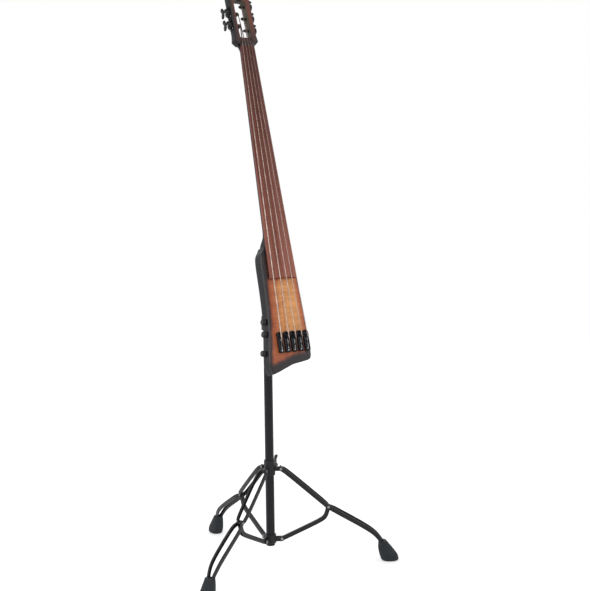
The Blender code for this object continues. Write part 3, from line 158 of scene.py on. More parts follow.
# Bridges and controls
BRIDGE_WIDTH = 0.0160
BRIDGE_FRONT = 0.015
BRIDGE_TAIL = -0.045
BRIDGE_WALL = 0.0025
BRIDGE_FLOOR = 0.0030
BRIDGE_RAIL_HEIGHT = 0.0085
BRIDGE_TAIL_LENGTH = 0.010
BRIDGE_SCREW_PLACES = (0.0105, -0.0305)
SADDLE_LENGTH = 0.010
SADDLE_CROWN = 0.0025
SADDLE_STUD_PLACE = 0.0034
SADDLE_ROD_RADIUS = 0.0009
SADDLE_ROD_PLACE = (0.0032, -0.0048)
SPRING_RADIUS = 0.0016
SPRING_WIRE = 0.00032
ANCHOR_BORE = 0.0030
ANCHOR_DEPTH = 0.0062
BALL_RADIUS = 0.0028
BALL_HALF = 0.003
BALL_DROP = 0.004
STRING_BREAK = -0.010
STRING_LEAD = 0.004
KNOB_PLACES = ((0.048, 0.018), (0.013, 0.018), (-0.040, 0.024))
KNOB_RADIUS = 0.0092
KNOB_HEIGHT = 0.0118
KNOB_STANDOFF = 0.0010
KNOB_SHAFT_RADIUS = 0.003
KNOB_SHAFT_DEPTH = 0.008
RIB_DEPTH = 0.0008
JACK_PLACE = (-0.035, 0.020)
JACK_FLANGE_RADIUS = 0.011
JACK_BODY_RADIUS = 0.0065
JACK_BORE_RADIUS = 0.0033
JACK_DEPTH = 0.020
JACK_NUT_FLATS = 0.0125
JACK_NUT_LEVELS = (0.0011, 0.0021)
COVER_WIDTH = 0.030
COVER_LENGTH = 0.090
COVER_THICKNESS = 0.0020
COVER_CORNER = 0.005
COVER_CENTRE = (-0.0470, 0.015)
COVER_SCREW_INSET = 0.004

# Mount
LEAN = radians(16.3)
PIVOT_ALONG = 0.160
PIVOT_DEPTH = 0.0805
PIVOT_FORWARD = 0.0135
PIVOT_HEIGHT = 0.8265
MOUNT_PLATE_WIDTH = 0.044
MOUNT_PLATE_LENGTH = 0.090
MOUNT_PLATE_THICKNESS = 0.004
MOUNT_PLATE_CORNER = 0.008
MOUNT_SCREW_PLACE = (0.0155, 0.0370)
EAR_THICKNESS = 0.004
EAR_RADIUS = 0.011
TONGUE_WIDTH = 0.020
TILT_BOLT_RADIUS = 0.004
TILT_BOLT_HEAD = 0.004
TILT_BOLT_FLATS = 0.0130
TILT_HEAD_RADIUS = 0.0144
TILT_HEAD_HEIGHT = 0.036
TILT_HEAD_DROP = 0.013
TILT_HEAD_ROOF = 0.010
TILT_KNOB_RADIUS = 0.019
TILT_KNOB_WIDTH = 0.014
TILT_KNOB_LOBES = 5
TILT_SCREW_DROP = 0.024

# Stand
POST_Y = -0.0902
TUBE_RADIUS = 0.013
TUBE_WALL = 0.0015
TUBE_PLAY = 0.0004
TUBE_BOTTOM = 0.054
TUBE_TOP = 0.735
INNER_TUBE_BOTTOM = 0.300
CLAMP_HEIGHT = 0.042
CLAMP_LIP = 0.007
CLAMP_WALL = 0.0045
SCREW_RADIUS = 0.0035
SCREW_BOSS_RADIUS = 0.0075
SCREW_BOSS_REACH = 0.0275
SCREW_SHANK = 0.008
WING_SPAN = 0.036
WING_WIDTH = 0.013
WING_THICKNESS = 0.006
WING_RISE = 0.006
HANDLE_RADIUS = 0.006
COLLAR_SCREW_DIRECTION = radians(30.0)
COLLAR_SCREW_HEIGHT = 0.0162
COLLAR_WALL = 0.0035
LEG_DIRECTIONS = tuple(radians(angle) for angle in (-30.0, 90.0, 210.0))
LEG_NAMES = ("right", "rear", "left")
HUB_PIVOT_REACH = 0.034
LEG_PIVOT_HEIGHT = 0.2855
BRACE_PIVOT_HEIGHT = 0.073
LEG_COLLAR_LOW = -0.018
LEG_COLLAR_HIGH = 0.027
BRACE_HUB_LOW = -0.012
BRACE_HUB_HIGH = 0.015
MID_PIVOT = (0.173, 0.168)
LEG_ROUTE = ((HUB_PIVOT_REACH, LEG_PIVOT_HEIGHT), (0.0570, 0.2700), (0.1560, 0.1840), MID_PIVOT,
             (0.1990, 0.1540), (0.2960, 0.0960), (0.3310, 0.0600), (0.3440, 0.0370))
LEG_SPREADS = (0.0, 0.80, 0.75, 0.0, 0.90, 0.80, 0.05)
BRACE_ROUTE = ((HUB_PIVOT_REACH, BRACE_PIVOT_HEIGHT), (0.0880, 0.0980), (0.1480, 0.1270), (0.1650, 0.1420),
               MID_PIVOT)
BAR_HEIGHT = 0.0125
BAR_WIDTH = 0.0050
BAR_SHEET = 0.0016
BAR_BEND = 0.0011
BAR_INNER_BEND = 0.0003
BAR_SPREAD = 0.0150
LUG_WIDTH = 0.0090
PIVOT_GAP = 0.0004
PIN_RADIUS = 0.0025
RIVET_HEAD_RADIUS = 0.0045
RIVET_HEAD_HEIGHT = 0.0012
LUG_RADIUS = 0.0065
HUB_SHEET = 0.0025
BOOT_SECTIONS = ((0.0000, 0.3560, 0.0215, 0.0160), (0.0050, 0.3560, 0.0260, 0.0200),
                 (0.0180, 0.3520, 0.0270, 0.0205), (0.0400, 0.3420, 0.0210, 0.0175),
                 (0.0570, 0.3355, 0.0135, 0.0150), (0.0610, 0.3345, 0.0115, 0.0140))
BOOT_POWER = 0.86


# Frames


def move(*place):
    return Matrix.Translation(place)


def turn(angle, axis="Z"):
    return Matrix.Rotation(angle, 4, axis)


STAND = move(0, POST_Y, 0)
TILT = STAND @ move(0, -PIVOT_FORWARD, PIVOT_HEIGHT)
LEANING = TILT @ turn(-LEAN, "X")
BODY = LEANING @ move(0, -PIVOT_DEPTH, -PIVOT_ALONG)
TO_BODY = BODY.inverted()
BACKWARD = turn(-pi / 2, "X")
FORWARD = turn(pi / 2, "X")


# Lines


def mix(low, high, share):
    return low + (high - low) * share


def mirrored(side, low, high):
    return sorted((side * low, side * high))


def arc(centre, radius, start, end, steps):
    angles = [start + (end - start) * step / steps for step in range(steps + 1)]
    return [(centre[0] + radius * cos(angle), centre[1] + radius * sin(angle)) for angle in angles]


def spline_value(a, b, c, d, t):
    """Catmull-Rom blend from b, at t of 0, to c, at t of 1."""
    bend = 2 * a - 5 * b + 4 * c - d
    twist = 3 * b - a - 3 * c + d
    return 0.5 * (2 * b + (c - a) * t + bend * t * t + twist * t ** 3)


def smooth_line(points, steps):
    padded = [points[0], *points, points[-1]]
    line = []
    for corners in zip(padded, padded[1:], padded[2:], padded[3:]):
        for step in range(steps):
            line.append(tuple(spline_value(*values, step / steps) for values in zip(*corners)))
    return line + [tuple(points[-1])]


def rounded_rectangle(width, length, corner, centre=(0.0, 0.0), steps=8):
    line = []
    for number, (side_a, side_b) in enumerate(((1, 1), (-1, 1), (-1, -1), (1, -1))):
        middle = (centre[0] + side_a * (width / 2 - corner), centre[1] + side_b * (length / 2 - corner))
        line += arc(middle, corner, number * pi / 2, (number + 1) * pi / 2, steps)
    return line


def hexagon(across_flats):
    radius = across_flats / 2 / cos(pi / 6)
    return [(radius * cos(pi / 6 + k * pi / 3), radius * sin(pi / 6 + k * pi / 3)) for k in range(6)]


def heading(line, number):
    """Direction of a route's first two coordinates at one of its points."""
    before = line[max(number - 1, 0)]
    after = line[min(number + 1, len(line) - 1)]
    return Vector((after[0] - before[0], after[1] - before[1])).normalized()


def front_view(x, z, depth):
    return (x, depth, z)


def side_view(y, z, across):
    return (across, y, z)


def flat_view(x, y, height):
    return (x, y, height)


# Meshes


def loft(rings):
    """Skin over rings of equal point counts, closed at both ends."""
    bm = bmesh.new()
    loops = [[bm.verts.new(point) for point in ring] for ring in rings]
    count = len(loops[0])
    for low, high in zip(loops, loops[1:]):
        for index in range(count):
            after = (index + 1) % count
            bm.faces.new((low[index], low[after], high[after], high[index]))
    bm.faces.new(loops[0])
    bm.faces.new(loops[-1])
    return bm


def prism(outline, start, end, view):
    """Extrude a flat outline; view(a, b, depth) gives each corner."""
    return loft([[view(a, b, depth) for a, b in outline] for depth in (start, end)])


def box(low, high):
    outline = ((low[0], low[1]), (high[0], low[1]), (high[0], high[1]), (low[0], high[1]))
    return prism(outline, low[2], high[2], flat_view)


def placed(bm, matrix):
    bmesh.ops.transform(bm, matrix=matrix, verts=bm.verts)
    return bm


AXIS_TURNS = {"X": turn(pi / 2, "Y"), "Y": turn(-pi / 2, "X"), "Z": Matrix.Identity(4)}


def turned(profile, sides=48, axis="Z", side=1):
    """Spin (radius, height) corners round an axis, their heights mirrored for side -1.

    It is hollow where the profile stays off the axis.
    """
    bm = bmesh.new()
    corners = [bm.verts.new((radius, 0.0, side * height)) for radius, height in profile]
    pairs = list(zip(corners, corners[1:]))
    if profile[0][0] > 0.0:
        pairs.append((corners[-1], corners[0]))
    edges = [bm.edges.new(pair) for pair in pairs]
    bmesh.ops.spin(bm, geom=corners + edges, cent=(0, 0, 0), axis=(0, 0, 1), angle=2 * pi, steps=sides)
    bmesh.ops.remove_doubles(bm, verts=bm.verts, dist=1e-6)
    return placed(bm, AXIS_TURNS[axis])


def rod(radius, start, end, sides=32, axis="Z", chamfer=0.0):
    profile = ((0.0, start), (radius, start), (radius, end), (0.0, end))
    if chamfer:
        profile = ((0.0, start), (radius - chamfer, start), (radius, start + chamfer),
                   (radius, end - chamfer), (radius - chamfer, end), (0.0, end))
    return turned(profile, sides, axis)


def pillow(line, centre, thickness, levels, view):
    """An outline with crowned faces: levels are (share of the thickness, scale), from the rim out."""
    sides = [(-share, scale) for share, scale in reversed(levels)] + [(0.0, 1.0)] + list(levels)
    return loft([[view(a * scale, centre + (b - centre) * scale, share * thickness) for a, b in line]
                 for share, scale in sides])


def add_object(name, bm, place):
    bmesh.ops.recalc_face_normals(bm, faces=bm.faces)
    mesh = bpy.data.meshes.new(name)
    bm.to_mesh(mesh)
    bm.free()
    return link(name, mesh, place)


def link(name, data, place=Matrix.Identity(4)):
    item = bpy.data.objects.new(name, data)
    bpy.context.scene.collection.objects.link(item)
    item.matrix_world = place
    return item


def evaluated_mesh(item):
    bpy.context.view_layer.update()
    return bpy.data.meshes.new_from_object(item.evaluated_get(bpy.context.evaluated_depsgraph_get()))


def settle(item):
    """Turn the modifiers' result into the object's own mesh."""
    mesh = evaluated_mesh(item)
    item.modifiers.clear()
    item.data = mesh
    return item


def rounded(item, width, segments=2, angle=60):
    modifier = item.modifiers.new("round", "BEVEL")
    modifier.width = width
    modifier.segments = segments
    modifier.limit_method = "ANGLE"
    modifier.angle_limit = radians(angle)
    modifier.use_clamp_overlap = True
    return settle(item)


def merge(item, helper, operation="UNION"):
    modifier = item.modifiers.new("shape", "BOOLEAN")
    modifier.operation = operation
    modifier.solver = "MANIFOLD"
    modifier.object = helper
    settle(item)
    bpy.data.objects.remove(helper, do_unlink=True)


def cut(item, bm, place):
    merge(item, add_object("helper", bm, place), "DIFFERENCE")


def join(item, bm, place, rounding=0.0, angle=60):
    helper = add_object("helper", bm, place)
    if rounding:
        rounded(helper, rounding, 2, angle)
    merge(item, helper)


def finish(item, body, material, stands_for=None, smooth=35):
    """Shade, paint and hang a piece on its body."""
    mesh = item.data
    if not any(mesh.materials):
        mesh.materials.clear()
        mesh.materials.append(material)
        for face in mesh.polygons:
            face.material_index = 0
    mesh.shade_smooth()
    mesh.set_sharp_from_angle(angle=radians(smooth))
    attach(item, body)
    if stands_for:
        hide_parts(stands_for)


def piece(name, bm, place, body, material, stands_for=None, rounding=0.0, segments=2, angle=60,
          joins=(), cuts=(), smooth=35):
    """A finished solid, with others joined to it and cut from it in the same frame."""
    item = add_object(name, bm, place)
    if rounding:
        rounded(item, rounding, segments, angle)
    for other in joins:
        join(item, other, place)
    for other in cuts:
        cut(item, other, place)
    finish(item, body, material, stands_for, smooth)


def wire(name, points, radius, place, sides, body, material, stands_for=None):
    """A finished round wire, capped at both ends."""
    curve = bpy.data.curves.new(name, "CURVE")
    curve.dimensions = "3D"
    curve.bevel_depth = radius
    curve.bevel_resolution = sides
    curve.use_fill_caps = True
    spline = curve.splines.new("POLY")
    spline.points.add(len(points) - 1)
    for point, spot in zip(spline.points, points):
        point.co = (*spot, 1.0)
    holder = link(name + "_curve", curve)
    mesh = evaluated_mesh(holder)
    mesh.materials.clear()
    bpy.data.objects.remove(holder, do_unlink=True)
    finish(link(name, mesh, place), body, material, stands_for, 60)


# Materials


def node(tree, kind, inputs=(), **settings):
    """A node with its settings, and its inputs given as values or as the sockets to link."""
    item = tree.nodes.new(kind)
    for key, value in settings.items():
        setattr(item, key, value)
    for key, value in inputs:
        if isinstance(value, bpy.types.NodeSocket):
            tree.links.new(value, item.inputs[key])
        else:
            item.inputs[key].default_value = value
    return item


def maths(tree, operation, *values):
    return node(tree, "ShaderNodeMath", enumerate(values), operation=operation).outputs[0]


def ramp(tree, factor, stops):
    item = node(tree, "ShaderNodeValToRGB", [("Fac", factor)])
    bands = item.color_ramp.elements
    while len(bands) < len(stops):
        bands.new(0.5)
    for band, (place, colour) in zip(bands, stops):
        band.position = place
        band.color = (*colour, 1.0)
    return item.outputs["Color"]


def value_range(tree, value, low, high, to_low=0.0, to_high=1.0):
    return node(tree, "ShaderNodeMapRange", [("Value", value), ("From Min", low), ("From Max", high),
                                             ("To Min", to_low), ("To Max", to_high)]).outputs["Result"]


def blend_colours(tree, factor, first, second, mode="MIX"):
    first, second = (value if isinstance(value, bpy.types.NodeSocket) else (*value, 1.0)
                     for value in (first, second))
    return node(tree, "ShaderNodeMix", [(0, factor), (6, first), (7, second)], data_type="RGBA",
                blend_type=mode, clamp_factor=True).outputs[2]


def shaded(tree, share, colour, pattern, low, dark, high, light):
    """A colour multiplied, as far as share says, by a pattern that runs from dark to light."""
    return blend_colours(tree, share, colour, ramp(tree, pattern, ((low, dark), (high, light))), "MULTIPLY")


def object_place(tree, stretch=(1.0, 1.0, 1.0)):
    """The piece's own coordinates in metres, stretched."""
    place = node(tree, "ShaderNodeTexCoord").outputs["Object"]
    return node(tree, "ShaderNodeMapping", [("Vector", place), ("Scale", stretch)]).outputs["Vector"]


def coordinate(tree, axis):
    return node(tree, "ShaderNodeSeparateXYZ", [("Vector", object_place(tree))]).outputs[axis]


def noise(tree, stretch, detail=3.0, roughness=0.5, distortion=0.0):
    """Noise of one scale, or of one for each axis."""
    even = isinstance(stretch, float)
    place = object_place(tree) if even else object_place(tree, stretch)
    return node(tree, "ShaderNodeTexNoise", [("Vector", place), ("Scale", stretch if even else 1.0),
                                             ("Detail", detail), ("Roughness", roughness),
                                             ("Distortion", distortion)]).outputs["Fac"]


def start_material(name, metallic=0.0, coat=0.0, coat_roughness=0.1, specular=0.5):
    material = bpy.data.materials.new(name)
    material.use_nodes = True
    shader = material.node_tree.nodes["Principled BSDF"]
    shader.inputs["Metallic"].default_value = metallic
    shader.inputs["Coat Weight"].default_value = coat
    shader.inputs["Coat Roughness"].default_value = coat_roughness
    shader.inputs["Specular IOR Level"].default_value = specular
    return material, material.node_tree


def dress(tree, colour, roughness, height, depth, strength=1.0):
    """Link a colour, a roughness and a bump of a real depth to the shader."""
    relief = node(tree, "ShaderNodeBump", [("Height", height), ("Distance", depth), ("Strength", strength)])
    shader = tree.nodes["Principled BSDF"]
    tree.links.new(colour, shader.inputs["Base Color"])
    tree.links.new(roughness, shader.inputs["Roughness"])
    tree.links.new(relief.outputs["Normal"], shader.inputs["Normal"])


def finish_coat(name, dark, light, rough_low, rough_high, grain, grain_depth, metallic=0.0, specular=0.5):
    """Paint, plating, plastic or rubber: soft mottling, uneven gloss and a fine surface grain."""
    material, tree = start_material(name, metallic, specular=specular)
    colour = ramp(tree, noise(tree, 38.0, 4.0, 0.6), ((0.30, dark), (0.72, light)))
    roughness = value_range(tree, noise(tree, 160.0, 2.0), 0.25, 0.75, rough_low, rough_high)
    dress(tree, colour, roughness, noise(tree, grain, 2.0), grain_depth)
    return material


def burst_material():
    """Clear gloss over figured maple, stained amber to red orange to a charcoal border."""
    material, tree = start_material("burst_gloss", coat=0.22, coat_roughness=0.10, specular=0.28)
    share = node(tree, "ShaderNodeAttribute", attribute_name="burst").outputs["Fac"]
    share = maths(tree, "ADD", share, value_range(tree, noise(tree, 42.0), 0.2, 0.8, -0.07, 0.07))
    colour = ramp(tree, share, ((0.00, (0.013, 0.009, 0.011)), (0.10, (0.017, 0.010, 0.011)),
                                (0.18, (0.110, 0.030, 0.018)), (0.27, (0.360, 0.085, 0.028)),
                                (0.50, (0.490, 0.136, 0.042)), (0.78, (0.640, 0.250, 0.076)),
                                (1.00, (0.740, 0.335, 0.112))))
    figure = noise(tree, (14.0, 14.0, 95.0), 4.0, 0.55, 0.6)
    blotch = noise(tree, (30.0, 30.0, 42.0), 3.0, 0.6, 1.2)
    grain = noise(tree, (900.0, 900.0, 26.0), 2.0)
    colour = shaded(tree, 0.65, colour, figure, 0.36, (0.76, 0.71, 0.66), 0.62, (1.10, 1.12, 1.12))
    colour = shaded(tree, 0.70, colour, blotch, 0.34, (0.80, 0.76, 0.72), 0.66, (1.08, 1.10, 1.10))
    colour = shaded(tree, 0.60, colour, grain, 0.30, (0.90, 0.88, 0.86), 0.60, (1.02, 1.02, 1.02))
    dress(tree, colour, value_range(tree, figure, 0.3, 0.7, 0.30, 0.38), grain, 0.00002)
    return material


def board_material():
    """Oiled reddish brown wood, its pores and darker streaks running along the strings."""
    material, tree = start_material("oiled_board", specular=0.20)
    streak = noise(tree, (170.0, 170.0, 3.2), 4.0, 0.6, 0.4)
    pores = noise(tree, (1500.0, 1500.0, 60.0), 2.0, 0.7)
    wide = noise(tree, (40.0, 40.0, 2.2), 2.0)
    colour = ramp(tree, streak, ((0.28, (0.182, 0.053, 0.037)), (0.52, (0.334, 0.116, 0.081)),
                                 (0.78, (0.420, 0.170, 0.124))))
    colour = shaded(tree, 0.55, colour, wide, 0.35, (0.72, 0.68, 0.68), 0.65, (1.10, 1.06, 1.04))
    colour = shaded(tree, 0.75, colour, pores, 0.36, (0.52, 0.50, 0.50), 0.50, (1.0, 1.0, 1.0))
    toward_nut = value_range(tree, coordinate(tree, "Z"), BOARD_END, SCALE_LENGTH)
    darker = blend_colours(tree, 1.0, colour, (0.31, 0.27, 0.30), "MULTIPLY")
    colour = blend_colours(tree, toward_nut, colour, darker)
    dress(tree, colour, value_range(tree, pores, 0.3, 0.6, 0.56, 0.40), pores, 0.00002)
    return material


def head_material():
    """Veneer on the head's front, reddish brown, darker at its edges, the bass side and the nut."""
    material, tree = start_material("head_veneer", coat=0.10, coat_roughness=0.20, specular=0.22)
    streak = noise(tree, (260.0, 260.0, 5.0), 4.0, 0.6, 0.5)
    brown = ramp(tree, streak, ((0.30, (0.085, 0.026, 0.020)), (0.70, (0.180, 0.062, 0.042))))
    past_nut = value_range(tree, coordinate(tree, "Z"), SCALE_LENGTH + 0.006, SCALE_LENGTH + 0.085)
    off = maths(tree, "ABSOLUTE", maths(tree, "SUBTRACT", coordinate(tree, "X"), HEAD_SHIFT + BURST_SHIFT))
    edge = value_range(tree, off, SLOT_HALF_WIDTH + 0.005, HEAD_HALF_WIDTH, 1.0, 0.0)
    colour = blend_colours(tree, maths(tree, "MINIMUM", past_nut, edge), (0.038, 0.026, 0.024), brown)
    dress(tree, colour, value_range(tree, streak, 0.3, 0.7, 0.30, 0.42), streak, 0.00001)
    return material


def shaded_slot_wood_material():
    """Unpainted wood on the walls of the head's slot, its pale colour darkened by painted shade."""
    material, tree = start_material("shaded_slot_wood", specular=0.20)
    streak = noise(tree, (240.0, 240.0, 8.0), 4.0, 0.6, 0.4)
    # Painted shade: brown-grey, where the wood itself is pale.
    colour = ramp(tree, streak, ((0.30, (0.085, 0.070, 0.052)), (0.70, (0.160, 0.132, 0.100))))
    dress(tree, colour, value_range(tree, streak, 0.3, 0.7, 0.55, 0.70), streak, 0.00004)
    return material


def string_material(index):
    """Flat-wound steel in fine bands, with painted shade behind the saddle and towards the nut."""
    material, tree = start_material(f"wound_steel_{index + 1}", metallic=1.0)
    along = coordinate(tree, "Z")
    pitch = 0.0009 if index < 3 else 0.0005
    bands = maths(tree, "SINE", maths(tree, "MULTIPLY", along, 2 * pi / pitch))
    tarnish = noise(tree, 55.0)
    colour = ramp(tree, tarnish, ((0.30, (0.34, 0.26, 0.23)), (0.70, (0.52, 0.42, 0.37))))
    # Painted shade: the steel is darkened behind the saddle, slightly along the string, and most towards the
    # nut and on the head.
    height = value_range(tree, along, -0.06, SCALE_LENGTH + 0.15)
    shade = ramp(tree, height, ((0.045, (0.26, 0.26, 0.28)), (0.056, (1.0, 1.0, 1.0)),
                                (0.40, (0.80, 0.77, 0.76)), (0.86, (0.36, 0.31, 0.31)),
                                (0.95, (0.26, 0.25, 0.28))))
    colour = blend_colours(tree, 1.0, colour, shade, "MULTIPLY")
    dress(tree, colour, value_range(tree, tarnish, 0.3, 0.7, 0.42, 0.30), bands, 0.00004, 0.6)
    return material


def steel_material(name, dark, light):
    """Plain steel with fine scratches."""
    material, tree = start_material(name, metallic=1.0)
    scratches = noise(tree, 420.0)
    colour = ramp(tree, scratches, ((0.30, dark), (0.70, light)))
    dress(tree, colour, value_range(tree, scratches, 0.3, 0.7, 0.22, 0.36), scratches, 0.00002)
    return material


BURST = burst_material()
BOARD = board_material()
HEAD_FACE = head_material()
SHADED_SLOT_WOOD = shaded_slot_wood_material()
STEEL = steel_material("bright_steel", (0.40, 0.40, 0.41), (0.60, 0.60, 0.61))
RIVET_STEEL = steel_material("rivet_steel", (0.16, 0.16, 0.17), (0.30, 0.30, 0.31))
STRINGS = [string_material(index) for index in range(STRING_COUNT)]
LACQUER = finish_coat("charcoal_lacquer", (0.009, 0.009, 0.011), (0.015, 0.015, 0.018), 0.38, 0.46,
                      300.0, 0.00002, specular=0.14)
NUT_BLACK = finish_coat("nut_black", (0.008, 0.008, 0.008), (0.014, 0.014, 0.014), 0.36, 0.48, 700.0, 0.00002)
PLASTIC = finish_coat("moulded_black", (0.006, 0.006, 0.007), (0.012, 0.012, 0.013), 0.40, 0.54,
                      1300.0, 0.00006, specular=0.40)
ANODISED = finish_coat("anodised_black", (0.006, 0.007, 0.010), (0.014, 0.015, 0.021), 0.26, 0.36,
                       1800.0, 0.00003, 0.5, 0.40)
PLATED = finish_coat("plated_black", (0.010, 0.010, 0.011), (0.020, 0.020, 0.022), 0.22, 0.32,
                     900.0, 0.00002, 0.6, 0.40)
POWDER = finish_coat("powder_black", (0.007, 0.007, 0.008), (0.013, 0.013, 0.015), 0.36, 0.48,
                     1500.0, 0.00005, specular=0.27)
TUBING = finish_coat("tube_black", (0.004, 0.004, 0.006), (0.009, 0.009, 0.011), 0.28, 0.38,
                     800.0, 0.00002, specular=0.22)
RUBBER = finish_coat("boot_rubber", (0.012, 0.015, 0.017), (0.020, 0.024, 0.027), 0.62, 0.80,
                     1100.0, 0.00010, specular=0.30)


# Lines that the strings, the board and the neck share


def along_board(z):
    return (z - BOARD_END) / (SCALE_LENGTH - BOARD_END)


def board_half(z):
    return 0.5 * mix(BOARD_END_WIDTH, BOARD_NUT_WIDTH, along_board(z))


def crown_y(z):
    return -STRING_HEIGHT + mix(END_ACTION, NUT_ACTION, along_board(z))


def seat_y(z):
    return crown_y(z) + BOARD_THICKNESS


def string_x(index, z):
    return (index - 0.5 * (STRING_COUNT - 1)) * mix(SADDLE_SPACING, NUT_SPACING, z / SCALE_LENGTH)


def arch(x):
    return x * x / (2 * FINGERBOARD_RADIUS)


def string_y(x):
    return -STRING_HEIGHT + arch(x)


HEAD_FRONT = crown_y(SCALE_LENGTH) + HEAD_STEP
HEAD = BODY @ move(0, HEAD_FRONT, SCALE_LENGTH) @ turn(-HEAD_TILT, "X")
OUTLINE = smooth_line(BASS_EDGE + TAIL_EDGE + TREBLE_EDGE, 10)


# Body and neck


def inward(line):
    """Unit normals of a closed outline, facing its inside."""
    normals = []
    for before, after in zip([line[-1], *line[:-1]], [*line[1:], line[0]]):
        run = Vector((after[0] - before[0], after[1] - before[1])).normalized()
        normals.append(Vector((-run.y, run.x)))
    middle = Vector((0.0, 0.1))
    facing = sum((middle - Vector(point)).dot(normal) for point, normal in zip(line, normals))
    return [normal if facing > 0 else -normal for normal in normals]


def inset(line, normals, distance):
    return [(x + normal.x * distance, z + normal.y * distance) for (x, z), normal in zip(line, normals)]


def core_of(z):
    """The place on a line up the middle of the body that a point at this height shrinks to."""
    z = min(max(z, CORE_LOW), CORE_HIGH)
    return (mix(-0.022, -0.002, (z - CORE_LOW) / (CORE_HIGH - CORE_LOW)), z)


def side_line(side, z):
    """The outline's crossing at a height, on the bass side for -1 and the treble side for 1."""
    crossings = [mix(a[0], b[0], (z - a[1]) / (b[1] - a[1])) for a, b in zip(OUTLINE, OUTLINE[1:])
                 if (a[1] - z) * (b[1] - z) <= 0.0 and a[1] != b[1]]
    if not crossings:
        return None
    return min(crossings) if side < 0 else max(crossings)


def side_distance(x, z, side):
    edge = side_line(side, z)
    return 0.0 if edge is None else abs(edge - x)


def tail_distance(x, z):
    tail = [point for point in OUTLINE if point[1] < -0.055 and point[0] > -0.075]
    return min((Vector((x, z)) - Vector(point)).length for point in tail)


def burst_share(x, z):
    """0 at the dark border and 1 in the amber middle."""
    upper = min(1.0, max(0.0, (z - BURST_RISE_START) / BURST_RISE_LENGTH))
    bass_reach = mix(*BURST_BASS_REACHES, upper * upper * (3 - 2 * upper))
    reaches = (side_distance(x, z, -1) / bass_reach, side_distance(x, z, 1) / BURST_TREBLE_REACH,
               (tail_distance(x, z) - BURST_TAIL_BORDER) / BURST_TAIL_REACH)
    return min(1.0, sum(max(reach, 0.001) ** -4 for reach in reaches) ** -0.25)


def rolled(line, normals, depth, way):
    """Rings that round an edge off, from the side to the face at this depth."""
    rings = []
    for step in range(7):
        angle = pi / 2 * step / 6
        y = depth + way * BODY_EDGE * (1 - sin(angle))
        rings.append([(x, y, z) for x, z in inset(line, normals, BODY_EDGE * (1 - cos(angle)))])
    return rings


def make_top():
    """The figured top with a rolled edge, stained by distance from the edge."""
    normals = inward(OUTLINE)
    rings = [[(x, TOP_THICKNESS, z) for x, z in OUTLINE]] + rolled(OUTLINE, normals, 0.0, 1)
    start = inset(OUTLINE, normals, BODY_EDGE)
    for share in (0.04, 0.09, 0.15, 0.22, 0.30, 0.40, 0.50, 0.60, 0.70, 0.80, 0.90, 0.97):
        rings.append([(mix(x, core_of(z)[0], share), 0.0, mix(z, core_of(z)[1], share)) for x, z in start])
    top = add_object("top_front", loft(rings), BODY)
    stain = top.data.attributes.new("burst", "FLOAT", "POINT")
    for vertex in top.data.vertices:
        stain.data[vertex.index].value = burst_share(vertex.co.x, vertex.co.z)
    finish(top, "instrument", BURST, "top_plate", 50)


def body_shell():
    """The whole outline behind the top, its back edge rolled."""
    rings = [[(x, depth, z) for x, z in OUTLINE]
             for depth in (TOP_THICKNESS, 0.0130, 0.0230, BODY_THICKNESS - BODY_EDGE)]
    return loft(rings + rolled(OUTLINE, inward(OUTLINE), BODY_THICKNESS, -1)[1:])


def make_sides():
    """Two wings, cut from the shell on either side of the beam."""
    half = BLOCK_WIDTH / 2
    wider = rounded_rectangle(COVER_WIDTH + 2 * GAP, COVER_LENGTH + 2 * GAP, COVER_CORNER + GAP, COVER_CENTRE)
    rebate = prism(wider, BODY_THICKNESS - COVER_THICKNESS - GAP, BODY_THICKNESS + CUT_PAST, front_view)
    bores = [placed(rod(KNOB_SHAFT_RADIUS + GAP, -KNOB_SHAFT_DEPTH - GAP, CUT_PAST), knob_frame(*spot))
             for spot in KNOB_PLACES]
    piece("bass_side", body_shell(), BODY, "instrument", LACQUER, "bass_wing",
          cuts=[box((-half, -1, -1), (1, 1, 1)), rebate, *bores])
    socket = placed(rod(JACK_BODY_RADIUS + GAP, -JACK_DEPTH - GAP, CUT_PAST), jack_frame())
    piece("treble_side", body_shell(), BODY, "instrument", LACQUER, "treble_wing",
          cuts=[box((-1, -1, -1), (half, 1, 1)), socket])


def neck_ring(z, half, depth, power, steps=28):
    ring = []
    for step in range(steps + 1):
        angle = pi * step / steps
        across = abs(cos(angle)) ** (2 / power) * (1 if angle < pi / 2 else -1)
        ring.append((half * across, seat_y(z) + depth * sin(angle) ** (2 / power), z))
    return ring


